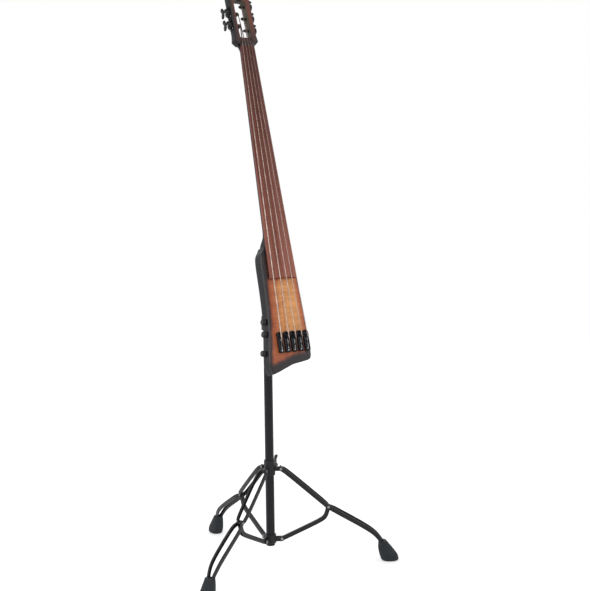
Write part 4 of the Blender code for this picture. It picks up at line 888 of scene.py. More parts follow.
def neck_shape(heel_steps=20, middle_steps=8, head_steps=14):
    """From inside the body, past the heel, to under the head."""
    full = BODY_THICKNESS - seat_y(HEEL_END)
    rings = [neck_ring(NECK_ROOT, board_half(NECK_ROOT), BODY_THICKNESS - seat_y(NECK_ROOT), HEEL_POWER),
             neck_ring(HEEL_END, board_half(HEEL_END), full, HEEL_POWER)]
    for step in range(1, heel_steps):
        share = step / heel_steps
        z = mix(HEEL_END, HEEL_START, share)
        swell = 0.5 + 0.5 * cos(pi * share)
        rings.append(neck_ring(z, board_half(z), mix(NECK_DEPTH_HEEL, full, swell),
                               mix(NECK_POWER, HEEL_POWER, swell ** 3)))
    for step in range(middle_steps + 1):
        z = mix(HEEL_START, SCALE_LENGTH - VOLUTE_LENGTH, step / middle_steps)
        depth = mix(NECK_DEPTH_HEEL, NECK_DEPTH_NUT, (z - HEEL_START) / (SCALE_LENGTH - HEEL_START))
        rings.append(neck_ring(z, board_half(z), depth, NECK_POWER))
    under_head = HEAD_FRONT + HEAD_THICKNESS - seat_y(SCALE_LENGTH)
    for step in range(1, head_steps + 1):
        share = 1.15 * step / head_steps
        z = SCALE_LENGTH - VOLUTE_LENGTH + share * (VOLUTE_LENGTH + RAMP_START)
        width = min(1.0, max(0.0, (share - 0.35) / 0.8)) ** 1.6
        rings.append(neck_ring(z, mix(board_half(z), HEAD_SHOULDER - HEAD_FLARE_INSET, width),
                               mix(NECK_DEPTH_NUT, under_head, min(share, 1.0) ** 2),
                               mix(NECK_POWER, HEAD_POWER, width)))
    return loft(rings)


def head_outline():
    top = HEAD_LENGTH - HEAD_CORNER
    half = HEAD_HALF_WIDTH
    side = ((mix(BOARD_NUT_WIDTH / 2, HEAD_SHOULDER, 0.35), NUT_LENGTH + GAP),
            (HEAD_SHOULDER - 0.0015, 0.0145), (HEAD_SHOULDER, 0.0185), (HEAD_SHOULDER - 0.0010, 0.0240),
            (half, 0.0400))
    right = smooth_line(side, 4) + arc((half - HEAD_CORNER, top), HEAD_CORNER, 0.0, pi / 2, 12)
    return [(x + HEAD_SHIFT, z) for x, z in right + [(-x, z) for x, z in reversed(right)]]


def slot_cut():
    radius = SLOT_CORNER
    inner = SLOT_HALF_WIDTH - radius
    low = SLOT_START + radius
    high = SLOT_END - radius
    line = []
    for number, spot in enumerate(((inner, low), (inner, high), (-inner, high), (-inner, low))):
        line += arc(spot, radius, (number - 1) * pi / 2, number * pi / 2, 10)
    outline = [(x + HEAD_SHIFT, z) for x, z in line]
    return prism(outline, -CUT_PAST, HEAD_THICKNESS + 2 * CUT_PAST, front_view)


def make_neck():
    """Beam, neck and slotted head in one, bored for the string posts."""
    half = BLOCK_WIDTH / 2
    beam = add_object("beam", body_shell(), BODY)
    for side in (-1, 1):
        low, high = mirrored(side, half, 1.0)
        cut(beam, box((low, -1, -1), (high, 1, 1)), BODY)
    cut(beam, box((-1, -1, mix(NECK_ROOT, HEEL_END, 0.5)), (1, 1, 1)), BODY)
    neck = add_object("neck", neck_shape(), BODY)
    merge(neck, beam)
    riser = []
    for z in (BOARD_END, HEEL_END):
        edge = board_half(z)
        riser.append([(-edge, 0.0, z), (edge, 0.0, z), (edge, seat_y(z), z), (-edge, seat_y(z), z)])
    join(neck, loft(riser), BODY)
    head = add_object("helper", prism(head_outline(), 0.0, HEAD_THICKNESS, front_view), HEAD)
    cut(rounded(head, 0.0018, 3), slot_cut(), HEAD)
    merge(neck, rounded(head, 0.0010))
    ramp_end = SLOT_START + SLOT_CORNER
    ramp_side = ((-CUT_PAST, RAMP_START), (0.0, RAMP_START), (RAMP_DEPTH, ramp_end), (-CUT_PAST, ramp_end))
    cut(neck, prism(ramp_side, HEAD_SHIFT - RAMP_HALF_WIDTH, HEAD_SHIFT + RAMP_HALF_WIDTH, side_view), HEAD)
    cut(neck, slot_cut(), HEAD)
    for place, side in zip(POST_PLACES, POST_SIDES):
        reach = mirrored(side, SLOT_HALF_WIDTH - CUT_PAST, HEAD_SHOULDER + CUT_PAST)
        cut(neck, rod(POST_RADIUS + GAP, *reach, 24, "X"), HEAD @ move(HEAD_SHIFT, POST_DEPTH, place))
    paint_neck(neck.data)
    finish(neck, "instrument", LACQUER, "neck_through")


def paint_neck(mesh):
    """Lacquer, with veneer on the head's front and ramp and bare wood, darkened by painted shade, on the
    walls of its slot.
    """
    mesh.materials.clear()
    for material in (LACQUER, HEAD_FACE, SHADED_SLOT_WOOD):
        mesh.materials.append(material)
    to_head = HEAD.inverted() @ BODY
    front = TO_BODY.to_3x3() @ HEAD.to_3x3() @ Vector((0, -1, 0))
    for face in mesh.polygons:
        middle = to_head @ face.center
        facing = face.normal.dot(front)
        across = abs(middle.x - HEAD_SHIFT)
        on_front = facing > 0.9 and middle.z > 0.004 and abs(middle.y) < 0.0004
        by_ramp = across < RAMP_HALF_WIDTH + 0.0005 and RAMP_START < middle.z < SLOT_START + 0.02
        in_slot = across < SLOT_HALF_WIDTH + 0.0005 and SLOT_START < middle.z < SLOT_END
        if on_front or (facing > 0.3 and by_ramp):
            face.material_index = 1
        else:
            face.material_index = 2 if in_slot and abs(facing) < 0.3 else 0


def knob_frame(z, depth):
    slope = atan2(side_line(-1, z + CUT_PAST) - side_line(-1, z - CUT_PAST), 2 * CUT_PAST)
    return move(side_line(-1, z), depth, z) @ turn(-pi / 2 + slope, "Y")


def jack_frame():
    z, depth = JACK_PLACE
    return move(side_line(1, z), depth, z) @ turn(pi / 2, "Y")


def make_fingerboard(ease=0.0008):
    """Fretless board, arched across, its edges eased."""
    rings = []
    for z in (BOARD_END, BOARD_END + ease, mix(BOARD_END, SCALE_LENGTH, 0.5), SCALE_LENGTH - GAP):
        half = board_half(z)
        drop = ease if z == BOARD_END else 0.0
        side = crown_y(z) + arch(half) + ease + drop
        rings.append([(half * step * (1 - ease / half), crown_y(z) + arch(half * step) + drop, z)
                      for step in ACROSS] + [(half, side, z), (half, seat_y(z), z), (-half, seat_y(z), z),
                                             (-half, side, z)])
    piece("board", loft(rings), BODY, "instrument", BOARD, "fingerboard", smooth=25)


def make_nut():
    half = BOARD_NUT_WIDTH / 2
    z = SCALE_LENGTH
    low = seat_y(z) - GAP
    outline = [(half * step, string_y(half * step) + 0.3 * max(STRING_DIAMETERS)) for step in ACROSS]
    past = NUT_LENGTH + CUT_PAST
    cuts = []
    for index, diameter in enumerate(STRING_DIAMETERS):
        route, turns = string_route(index)
        run = Vector(turns[0]) - Vector(route[-1])
        aim = move(*route[-1]) @ turn(atan2(run.x, run.z), "Y") @ turn(-asin(run.y / run.length), "X")
        throat = diameter / 2 + 0.5 * GAP
        mouth = 0.97 * throat
        cuts.append(placed(rod(throat, -CUT_PAST, past, 20), aim))
        cuts.append(placed(box((-mouth, -CUT_PAST - throat, -CUT_PAST), (mouth, -0.15 * throat, past)), aim))
    piece("nut_block", prism([*outline, (half, low), (-half, low)], z, z + NUT_LENGTH, flat_view), BODY,
          "instrument", NUT_BLACK, "nut", 0.0007, cuts=cuts)


# Controls, jack and cover


def make_knobs(ribs=30, steps_each=4):
    """Knurled control knobs with domed ends, an index mark and a washer."""
    low = KNOB_STANDOFF
    high = KNOB_STANDOFF + KNOB_HEIGHT
    levels = ((low, 0.94, 0.0), (low + 0.0008, 1.0, 0.0), (low + 0.0030, 1.0, 0.0), (low + 0.0036, 0.97, 0.7),
              (high - 0.0036, 0.95, 0.7), (high - 0.0026, 0.93, 0.0), (high - 0.0010, 0.88, 0.0),
              (high - 0.0003, 0.80, 0.0), (high, 0.66, 0.0), (high - 0.0006, 0.60, 0.0))
    rings = []
    for height, scale, knurl in levels:
        ring = []
        for step in range(ribs * steps_each):
            angle = 2 * pi * step / (ribs * steps_each)
            dip = 0.5 - 0.5 * cos(2 * pi * step / steps_each)
            radius = KNOB_RADIUS * scale - RIB_DEPTH * knurl * dip
            ring.append((radius * cos(angle), radius * sin(angle), height))
        rings.append(ring)
    bore = KNOB_SHAFT_RADIUS + 0.0002
    for number, spot in enumerate(KNOB_PLACES, 1):
        place = BODY @ knob_frame(*spot)
        shaft = rod(KNOB_SHAFT_RADIUS, -KNOB_SHAFT_DEPTH, low + 0.004)
        body = f"control_{number}"
        piece(f"knob_cap_{number}", loft(rings), place, body, PLASTIC, f"knob_{number}",
              joins=[shaft])
        mark = box((-0.0004, 0.0015, high - 0.0007), (0.0004, 0.0050, high - 0.0003))
        piece(f"knob_mark_{number}", mark, place, body, STEEL)
        skirt = turned(((bore, -0.0003), (0.0075, -0.0003), (0.0078, 0.0003), (0.0070, 0.0007),
                        (bore, 0.0007)))
        piece(f"knob_washer_{number}", skirt, place, "instrument", PLATED)


def make_jack():
    """Socket with a flanged washer and a hexagonal nut round its mouth."""
    place = BODY @ jack_frame()
    edge = JACK_FLANGE_RADIUS
    neck = JACK_BODY_RADIUS - 0.0010
    bottom = -JACK_DEPTH + 0.003
    profile = ((0.0, -JACK_DEPTH), (JACK_BODY_RADIUS, -JACK_DEPTH), (JACK_BODY_RADIUS, 0.0),
               (edge - 0.0004, 0.0), (edge, 0.0004), (edge, 0.0008), (edge - 0.0006, 0.0011),
               (neck, 0.0011), (neck, 0.0023), (neck - 0.0005, 0.0023), (JACK_BORE_RADIUS + 0.0004, 0.0023),
               (JACK_BORE_RADIUS, 0.0018), (JACK_BORE_RADIUS, bottom), (0.0, bottom))
    piece("jack_barrel", turned(profile), place, "instrument", PLATED, "output_jack")
    piece("jack_nut", prism(hexagon(JACK_NUT_FLATS), *JACK_NUT_LEVELS, flat_view), place, "instrument",
          STEEL, None, 0.0003, angle=40, cuts=[rod(neck, 0.0, CUT_PAST)])


def add_screw(name, place, size, material=None, drive="cross", body="instrument"):
    """Low domed screw head along +Z, with the recess of its driver."""
    radius, height = size
    profile = [(0.0, 0.0), (radius, 0.0), (radius, 0.25 * height)]
    profile += [(radius * cos(angle), height * (0.25 + 0.75 * sin(angle)))
                for angle in (radians(20), radians(40), radians(60), radians(78))]
    cuts = [prism(hexagon(0.95 * radius), 0.35 * height, 2 * height, flat_view)]
    if drive == "cross":
        cuts = [box((-a * radius, -b * radius, 0.45 * height), (a * radius, b * radius, 2 * height))
                for a, b in ((0.62, 0.12), (0.12, 0.62))]
    piece(name, turned([*profile, (0.0, height)], 24), place, body, material or PLATED, cuts=cuts)


def corner_screws(name, centre, half_x, half_z, depth, size, slot, material=None):
    spots = [(across, along) for across in (-1, 1) for along in (-1, 1)]
    for number, (across, along) in enumerate(spots, 1):
        place = BODY @ move(centre[0] + across * half_x, depth, centre[1] + along * half_z) @ BACKWARD
        add_screw(f"{name}_{number}", place, size, material)


def make_cover():
    """Flush plate over the control cavity with a screw at each corner."""
    outline = rounded_rectangle(COVER_WIDTH, COVER_LENGTH, COVER_CORNER, COVER_CENTRE)
    piece("cover_plate", prism(outline, BODY_THICKNESS - COVER_THICKNESS, BODY_THICKNESS, front_view), BODY,
          "instrument", PLASTIC, "control_cover", 0.0004)
    corner_screws("cover_screw", COVER_CENTRE, COVER_WIDTH / 2 - COVER_SCREW_INSET,
                  COVER_LENGTH / 2 - COVER_SCREW_INSET,
                  BODY_THICKNESS - 0.0002, COVER_SCREW, "control_black")


# Bridges and strings


def make_bridges():
    """One rail for each string: rounded nose, sliding saddle, its screw and the string's anchor."""
    half = BRIDGE_WIDTH / 2
    inner = half - BRIDGE_WALL
    nose = BRIDGE_FRONT - half
    tail_end = BRIDGE_TAIL + BRIDGE_TAIL_LENGTH
    tail = rounded_rectangle(BRIDGE_WIDTH, 0.02, 0.0035, (0.0, BRIDGE_TAIL + 0.01), 5)
    lower = sorted((point for point in tail if point[1] < BRIDGE_TAIL + 0.01), key=lambda point: point[0])
    outline = lower + arc((0.0, nose), half, 0.0, pi, 20)
    channel = [(-inner, tail_end), (inner, tail_end), *arc((0.0, nose), inner, 0.0, pi, 16)]
    for index in range(STRING_COUNT):
        number = index + 1
        place = BODY @ move(string_x(index, 0.0), 0, 0)
        hollow = prism(channel, -BRIDGE_FLOOR, -BRIDGE_RAIL_HEIGHT - CUT_PAST, front_view)
        anchor_hole = rod(ANCHOR_BORE, -CUT_PAST, BRIDGE_TAIL_LENGTH + 0.002, 24)
        cuts = [hollow, placed(anchor_hole, move(0, -ANCHOR_DEPTH, BRIDGE_TAIL))]
        piece(f"bridge_rail_{number}", prism(outline, 0.0, -BRIDGE_RAIL_HEIGHT, front_view), place,
              "instrument", ANODISED, f"bridge_base_{number}", 0.0011, 3, 50, cuts=cuts)
        for tag, along in zip("ab", BRIDGE_SCREW_PLACES):
            spot = place @ move(0, -BRIDGE_FLOOR + 0.0002, along) @ FORWARD
            add_screw(f"bridge_screw_{number}_{tag}", spot, BRIDGE_SCREW)
        make_saddle(index, place)
        make_saddle_screw(number, place)


def make_saddle(index, place):
    """Crowned carriage with two height screws."""
    number = index + 1
    inner = BRIDGE_WIDTH / 2 - BRIDGE_WALL - GAP
    low = BRIDGE_FLOOR + GAP
    top = -string_y(string_x(index, 0.0)) - STRING_DIAMETERS[index] / 2 - GAP
    half = SADDLE_LENGTH / 2
    shoulder = BRIDGE_RAIL_HEIGHT + 0.0020
    neck = SADDLE_STUD_PLACE
    outline = [(half, low), (half, shoulder), (neck, shoulder + 0.0012),
               *arc((0.0, top - SADDLE_CROWN), SADDLE_CROWN, 0.0, pi, 16),
               (-neck, shoulder + 0.0012), (-half, shoulder), (-half, low)]
    block = prism(outline, -inner, inner, lambda z, height, across: (across, -height, z))
    body = f"saddle_{number}"
    piece(f"saddle_{number}_block", block, place, body, ANODISED, f"bridge_saddle_{number}",
          0.0005, angle=50)
    for tag, across in (("l", -neck), ("r", neck)):
        spot = place @ move(across, -shoulder - 0.0001, 0.0) @ FORWARD
        add_screw(f"saddle_stud_{number}_{tag}", spot, SADDLE_STUD, STEEL, "hex", body)


def make_saddle_screw(number, place, coils=9, steps_each=12):
    """Length screw from the tail block to the carriage, inside its spring."""
    start = BRIDGE_TAIL + BRIDGE_TAIL_LENGTH
    end = -SADDLE_LENGTH / 2 - 0.0025
    x, y = SADDLE_ROD_PLACE
    shaft = rod(SADDLE_ROD_RADIUS, start - 0.001, end, 16)
    piece(f"saddle_rod_{number}", shaft, place @ move(x, y, 0), "instrument", STEEL)
    steps = coils * steps_each
    points = []
    for step in range(steps + 1):
        angle = 2 * pi * step / steps_each
        points.append((x + SPRING_RADIUS * cos(angle), y + SPRING_RADIUS * sin(angle),
                       mix(start + 0.0006, end - 0.0002, step / steps)))
    wire(f"saddle_spring_{number}", points, SPRING_WIRE, place, 3, "instrument", STEEL)


def string_route(index):
    """Anchor, saddle, nut and the turns round the post, as in the CAD but finer."""
    diameter = STRING_DIAMETERS[index]
    x_low = string_x(index, 0.0)
    x_nut = string_x(index, SCALE_LENGTH)
    y_low = string_y(x_low)
    y_nut = string_y(x_nut)
    anchor = (x_low, -BRIDGE_FLOOR - diameter / 2 - 3 * GAP, BRIDGE_TAIL + BRIDGE_TAIL_LENGTH + GAP)
    route = [anchor, (x_low, anchor[1] - GAP, anchor[2] + STRING_LEAD), (x_low, y_low, STRING_BREAK)]
    for share in (0.0, 0.5, 1.0):
        route.append((mix(x_low, x_nut, share), mix(y_low, y_nut, share), SCALE_LENGTH * share))
    side = POST_SIDES[index]
    place = POST_PLACES[index]
    rise = POST_DEPTH - (y_nut - HEAD_FRONT)
    radius = POST_RADIUS + 0.5 * GAP + diameter / 2
    pitch = diameter + WRAP_GAP
    first = atan2(rise, place) - asin(radius / hypot(place, rise))
    start_x = HEAD_SHIFT + side * WRAP_MIDDLE - side * 0.5 * pitch * WRAP_TURNS
    steps = ceil(WRAP_TURNS * 2 * POINTS_PER_TURN)
    turns = []
    for step in range(steps + 1):
        angle = first + 2 * pi * WRAP_TURNS * step / steps
        spot = (start_x + side * pitch * WRAP_TURNS * step / steps, POST_DEPTH - radius * cos(angle),
                place + radius * sin(angle))
        turns.append(tuple(TO_BODY @ HEAD @ Vector(spot)))
    return route, turns


def eased(points, reach=0.003, steps=4):
    """Round the bends of a route, each over a short reach."""
    places = [Vector(point) for point in points]
    line = [places[0]]
    for before, corner, after in zip(places, places[1:], places[2:]):
        into = before - corner
        out = after - corner
        if into.angle(out) > radians(178):
            line.append(corner)
            continue
        span = min(reach, 0.4 * into.length, 0.4 * out.length)
        start = corner + into.normalized() * span
        end = corner + out.normalized() * span
        for step in range(steps + 1):
            t = step / steps
            line.append((1 - t) ** 2 * start + 2 * t * (1 - t) * corner + t * t * end)
    line.append(places[-1])
    return [tuple(place) for place in line]


def make_strings():
    for index, diameter in enumerate(STRING_DIAMETERS):
        number = index + 1
        route, turns = string_route(index)
        wire(f"string_{number}_wound", eased(route + turns[:1]) + turns[1:], diameter / 2, BODY, 5,
             "instrument", STRINGS[index], f"string_{number}")
        anchor = Vector(route[0])
        ball = rod(BALL_RADIUS, -BALL_HALF, BALL_HALF, 24, "X", 0.0004)
        spot = move(anchor.x, anchor.y, anchor.z - BALL_DROP)
        piece(f"string_ball_{number}", placed(ball, spot), BODY, "instrument", STEEL)


# Tuning machines


PLATE_OUTSIDE = HEAD_HALF_WIDTH + GAP + PLATE_THICKNESS
GEAR_START = PLATE_OUTSIDE + GEAR_STANDOFF
GEAR_MIDDLE = GEAR_START + GEAR_WIDTH / 2
GEAR_FACE = GEAR_START + GEAR_WIDTH
WORM_OFFSET = GEAR_RADIUS + WORM_RADIUS + GAP
EAR_INSIDE = WORM_LENGTH / 2 + GAP


def make_plate(number, side, place):
    """Base plate with two bearing ears, bored for the post and the stem, and its two screws."""
    outline = rounded_rectangle(PLATE_WIDTH, PLATE_LENGTH, PLATE_CORNER, (0.0, PLATE_SHIFT))
    span = mirrored(side, HEAD_HALF_WIDTH, PLATE_OUTSIDE)
    plate = rounded(add_object(f"machine_plate_{number}", prism(outline, *span, side_view), place), 0.0004)
    near = HEAD_HALF_WIDTH + 2 * GAP
    ear = [(near, WORM_OFFSET - EAR_HALF), (near, WORM_OFFSET + EAR_HALF),
           *arc((GEAR_MIDDLE, WORM_OFFSET), EAR_HALF, pi / 2, -pi / 2, 14)]
    for low in (-EAR_INSIDE - EAR_WIDTH, EAR_INSIDE):
        outline = [(side * x, z) for x, z in ear]
        join(plate, prism(outline, low, low + EAR_WIDTH, front_view), place, 0.0005, 50)
    cut(plate, rod(POST_RADIUS + GAP, *mirrored(side, 0.0, 2 * PLATE_OUTSIDE), 32, "X"), place)
    bearing = rod(KEY_STEM_RADIUS + GAP, -2 * WORM_LENGTH, 2 * WORM_LENGTH, 24, "Y")
    cut(plate, placed(bearing, move(side * GEAR_MIDDLE, 0, WORM_OFFSET)), place)
    finish(plate, "instrument", PLATED, f"tuner_plate_{number}")
    across, along = PLATE_SCREW_PLACE
    for tag, way in (("a", -1), ("b", 1)):
        spot = place @ move(side * PLATE_OUTSIDE, way * across, along) @ turn(side * pi / 2, "Y")
        add_screw(f"machine_screw_{number}_{tag}", spot, PLATE_SCREW, STEEL)


def make_post(number, side, place):
    """Toothed wheel outside the cheek, its screw and the string post."""
    outline = []
    corners = ((0.04, 1.0), (0.18, 0.25), (0.27, 0.0), (0.47, 0.0), (0.56, 0.25), (0.70, 1.0))
    for tooth in range(GEAR_TEETH):
        for share, depth in corners:
            radius = GEAR_RADIUS - depth * TOOTH_DEPTH
            angle = 2 * pi * (tooth + share - 0.37) / GEAR_TEETH + pi / 2
            outline.append((radius * cos(angle), radius * sin(angle)))
    wheel = prism(outline, *mirrored(side, GEAR_START, GEAR_FACE), side_view)
    gear = rounded(add_object(f"machine_wheel_{number}", wheel, place), 0.00025, 1, 50)
    high = GEAR_FACE + 0.001
    low = GEAR_FACE - 0.0008
    cut(gear, turned(((0.0052, high), (0.0086, high), (0.0082, low), (0.0056, low)), 40, "X", side), place)
    tip = SLOT_HALF_WIDTH - POST_REACH
    waist = POST_RADIUS - 0.0004
    end = GEAR_START + 0.5 * GEAR_WIDTH
    shaft = ((0.0, tip), (waist - 0.0004, tip), (waist, tip + 0.0003), (POST_RADIUS, tip + 0.0008),
             (POST_RADIUS, tip + 0.0020), (waist, tip + 0.0030), (waist, SLOT_HALF_WIDTH - 0.0010),
             (POST_RADIUS, SLOT_HALF_WIDTH), (POST_RADIUS, end), (0.0, end))
    start = GEAR_START + 0.002
    top = GEAR_FACE + CAP_HEIGHT
    cap = ((0.0, start), (CAP_RADIUS, start), (CAP_RADIUS, top - 0.0008), (CAP_RADIUS - 0.0006, top - 0.0002),
           (CAP_RADIUS - 0.0014, top), (0.0, top))
    for profile in (shaft, cap):
        join(gear, turned(profile, 32, "X", side), place)
    low, high = mirrored(side, top - 0.0008, top + 0.001)
    cut(gear, box((low, -0.0036, -0.0005), (high, 0.0036, 0.0005)), place)
    finish(gear, f"wheel_{number}", PLATED, f"tuner_post_{number}")


def make_key(number, side, place):
    """Worm with its thread, stem and two-lobed key, crowned like a cast one."""
    key_start = HEAD_THICKNESS - POST_DEPTH + KEY_CLEARANCE
    low = -EAR_INSIDE - EAR_WIDTH - 0.0010
    end = key_start + 0.3 * KEY_HEIGHT
    half = WORM_LENGTH / 2
    root = WORM_RADIUS - WORM_DEPTH
    stem = KEY_STEM_RADIUS
    profile = ((0.0, low), (stem - 0.0004, low), (stem, low + 0.0004), (stem, -half), (root, -half),
               (root, half), (stem, half), (stem, key_start - 0.0035), (stem + 0.0011, key_start - 0.0028),
               (stem + 0.0011, key_start - 0.0012), (stem, key_start - 0.0005), (stem, end), (0.0, end))
    span = KEY_SPAN / 2
    rim = ((0.22, 0.0), (0.55, 0.10), (0.92, 0.35), (1.0, 0.68), (0.80, 0.98), (0.45, 0.90), (0.0, 0.62))
    line = smooth_line([(a * span, b * KEY_HEIGHT) for a, b in rim], 6)
    line = [(a, key_start + b) for a, b in line + [(-a, b) for a, b in reversed(line[:-1])]]
    wings = pillow(line, key_start + 0.5 * KEY_HEIGHT, KEY_THICKNESS,
                   ((0.22, 0.985), (0.40, 0.93), (0.5, 0.84)), lambda a, b, depth: (depth, b, a))
    body = f"key_{number}"
    piece(f"machine_key_{number}", turned(profile, 24, "Y"), place, body, PLATED,
          f"tuner_key_{number}", joins=[wings])
    pitch = 2 * pi * GEAR_RADIUS / GEAR_TEETH
    steps_each = 20
    points = []
    for step in range(int((2 * half - 0.0014) / pitch * steps_each) + 1):
        angle = side * 2 * pi * step / steps_each
        points.append(((root + 0.0002) * cos(angle), -half + 0.0007 + pitch * step / steps_each,
                       (root + 0.0002) * sin(angle)))
    wire(f"machine_thread_{number}", points, THREAD_WIRE, place, 3, body, PLATED)


def make_tuners():
    for number, (along, side) in enumerate(zip(POST_PLACES, POST_SIDES), 1):
        place = HEAD @ move(HEAD_SHIFT, POST_DEPTH, along)
        make_plate(number, side, place)
        make_post(number, side, place)
        make_key(number, side, place @ move(side * GEAR_MIDDLE, 0, WORM_OFFSET))


# Mount


def make_mount():
    """Plate with two ears on the back of the body, and its screws."""
    near = BODY_THICKNESS + 0.0001
    far = near + MOUNT_PLATE_THICKNESS + GAP
    outline = rounded_rectangle(MOUNT_PLATE_WIDTH, MOUNT_PLATE_LENGTH, MOUNT_PLATE_CORNER, (0.0, PIVOT_ALONG))
    plate = rounded(add_object("mount_base", prism(outline, near, far, front_view), BODY), 0.0008, 3)
    foot = far - 0.001
    ear = [(foot, PIVOT_ALONG - 2 * EAR_RADIUS),
           *arc((PIVOT_DEPTH, PIVOT_ALONG), EAR_RADIUS, -pi / 2, pi / 2, 24),
           (foot, PIVOT_ALONG + 2 * EAR_RADIUS)]
    inside = TONGUE_WIDTH / 2 + GAP
    for side in (-1, 1):
        join(plate, prism(ear, *mirrored(side, inside, inside + EAR_THICKNESS), side_view), BODY, 0.0006)
    hole = rod(TILT_BOLT_RADIUS + GAP, -MOUNT_PLATE_WIDTH, MOUNT_PLATE_WIDTH, 32, "X")
    cut(plate, placed(hole, move(0, PIVOT_DEPTH, PIVOT_ALONG)), BODY)
    finish(plate, "instrument", POWDER, "mount_plate")
    corner_screws("mount_screw", (0.0, PIVOT_ALONG), *MOUNT_SCREW_PLACE, far - 0.0001, MOUNT_SCREW,
                  "stand_black", STEEL)


def make_tilt_bolt():
    """Hexagon bolt through the ears with a lobed knob on its other end."""
    start = TONGUE_WIDTH / 2 + GAP + EAR_THICKNESS + GAP
    bolt = rod(TILT_BOLT_RADIUS, -start - 0.0005, start + 0.002, 32, "X")
    piece("tilt_bolt", bolt, LEANING, "tilt_lock", STEEL)
    head = prism(hexagon(TILT_BOLT_FLATS), -start - TILT_BOLT_HEAD, -start, side_view)
    piece("tilt_bolt_head", head, LEANING, "tilt_lock", STEEL, None, 0.0005, angle=40)
    rings = []
    for rise, scale in ((0.0, 0.80), (0.0012, 0.90), (0.0030, 0.97), (0.0055, 1.0), (0.0090, 1.0),
                        (0.0115, 0.97), (0.0132, 0.90), (TILT_KNOB_WIDTH, 0.78)):
        ring = []
        for step in range(100):
            angle = 2 * pi * step / 100
            radius = scale * TILT_KNOB_RADIUS * (0.88 + 0.12 * cos(TILT_KNOB_LOBES * angle))
            ring.append((start + rise, radius * cos(angle), radius * sin(angle)))
        rings.append(ring)
    low = start + TILT_KNOB_WIDTH - 0.0012
    high = start + TILT_KNOB_WIDTH + 0.001
    dish = turned(((0.0, low), (0.0050, low), (0.0060, high), (0.0, high)), 32, "X")
    piece("tilt_lobed_knob", loft(rings), LEANING, "tilt_lock", PLASTIC, "tilt_knob",
          cuts=[dish])


def make_tilt_head():
    """Socket over the inner tube with its tongue, and the set screw that holds it."""
    top = -TILT_HEAD_DROP
    low = top - TILT_HEAD_HEIGHT
    roof = top - TILT_HEAD_ROOF
    bore = INNER_TUBE_RADIUS + 0.5 * GAP
    wide = TILT_HEAD_RADIUS
    edge = 0.0014
    profile = ((0.0, top), (wide - edge, top), (wide - 0.3 * edge, top - 0.3 * edge), (wide, top - edge),
               (wide, low + 0.0006), (wide - 0.0006, low), (bore, low), (bore, roof), (0.0, roof))
    head = add_object("tilt_socket", placed(turned(profile, 56), move(0, PIVOT_FORWARD, 0)), TILT)
    back = PIVOT_FORWARD + 0.6 * wide
    radius = EAR_RADIUS - 0.0005
    floor = roof + 0.001
    outline = [(back, floor), (back, floor + TILT_HEAD_ROOF),
               *arc((0, 0), radius, radians(60), radians(200), 24), (-radius, floor)]
    half = TONGUE_WIDTH / 2
    join(head, prism(outline, -half, half, side_view), TILT, 0.0006)
    cut(head, rod(TILT_BOLT_RADIUS + GAP, -TONGUE_WIDTH, TONGUE_WIDTH, 32, "X"), TILT)
    finish(head, "upper_post", POWDER, "tilt_head")
    spot = TILT @ move(0, PIVOT_FORWARD + wide - 0.0004, top - TILT_SCREW_DROP) @ BACKWARD
    add_screw("tilt_set_screw", spot, TILT_SCREW, STEEL, "hex", "upper_post")


# Stand


INNER_TUBE_RADIUS = TUBE_RADIUS - TUBE_WALL - TUBE_PLAY
SLEEVE_BORE = TUBE_RADIUS + GAP
HIP = LEG_ROUTE[0]
RIVET_REACH = LUG_WIDTH / 2 + PIVOT_GAP + BAR_WIDTH


def lipped(inner, outer, low, high, edge=0.0005):
    """A sleeve or tube with broken edges at both mouths."""
    profile = ((inner, low + edge), (inner + edge, low), (outer - edge, low), (outer, low + edge),
               (outer, high - edge), (outer - edge, high), (inner + edge, high), (inner, high - edge))
    return turned(profile, 64)


def make_tubes():
    wall = TUBE_RADIUS - TUBE_WALL
    piece("post_tube", lipped(wall, TUBE_RADIUS, TUBE_BOTTOM, TUBE_TOP), STAND, "stand", TUBING,
          "outer_tube")
    top = PIVOT_HEIGHT - TILT_HEAD_DROP - TILT_HEAD_ROOF - GAP
    inner = lipped(INNER_TUBE_RADIUS - TUBE_WALL, INNER_TUBE_RADIUS, INNER_TUBE_BOTTOM, top)
    piece("sliding_tube", inner, STAND, "upper_post", TUBING, "inner_tube")
    low = TUBE_BOTTOM + 0.0004
    high = TUBE_BOTTOM + 0.012
    plug = ((0.0, low), (wall - 0.0016, low), (wall - 0.0002, TUBE_BOTTOM + 0.0016), (wall - 0.0002, high),
            (0.0, high))
    piece("post_plug", turned(plug), STAND, "stand", PLASTIC)


def screw_seat(item, place):
    """Round boss on a sleeve, bored through to the tube."""
    join(item, rod(SCREW_BOSS_RADIUS, TUBE_RADIUS + 4 * GAP, SCREW_BOSS_REACH, 40, "X", 0.0006), place)
    cut(item, rod(SCREW_RADIUS + GAP, TUBE_RADIUS - CUT_PAST, SCREW_BOSS_REACH + CUT_PAST, 28, "X"), place)


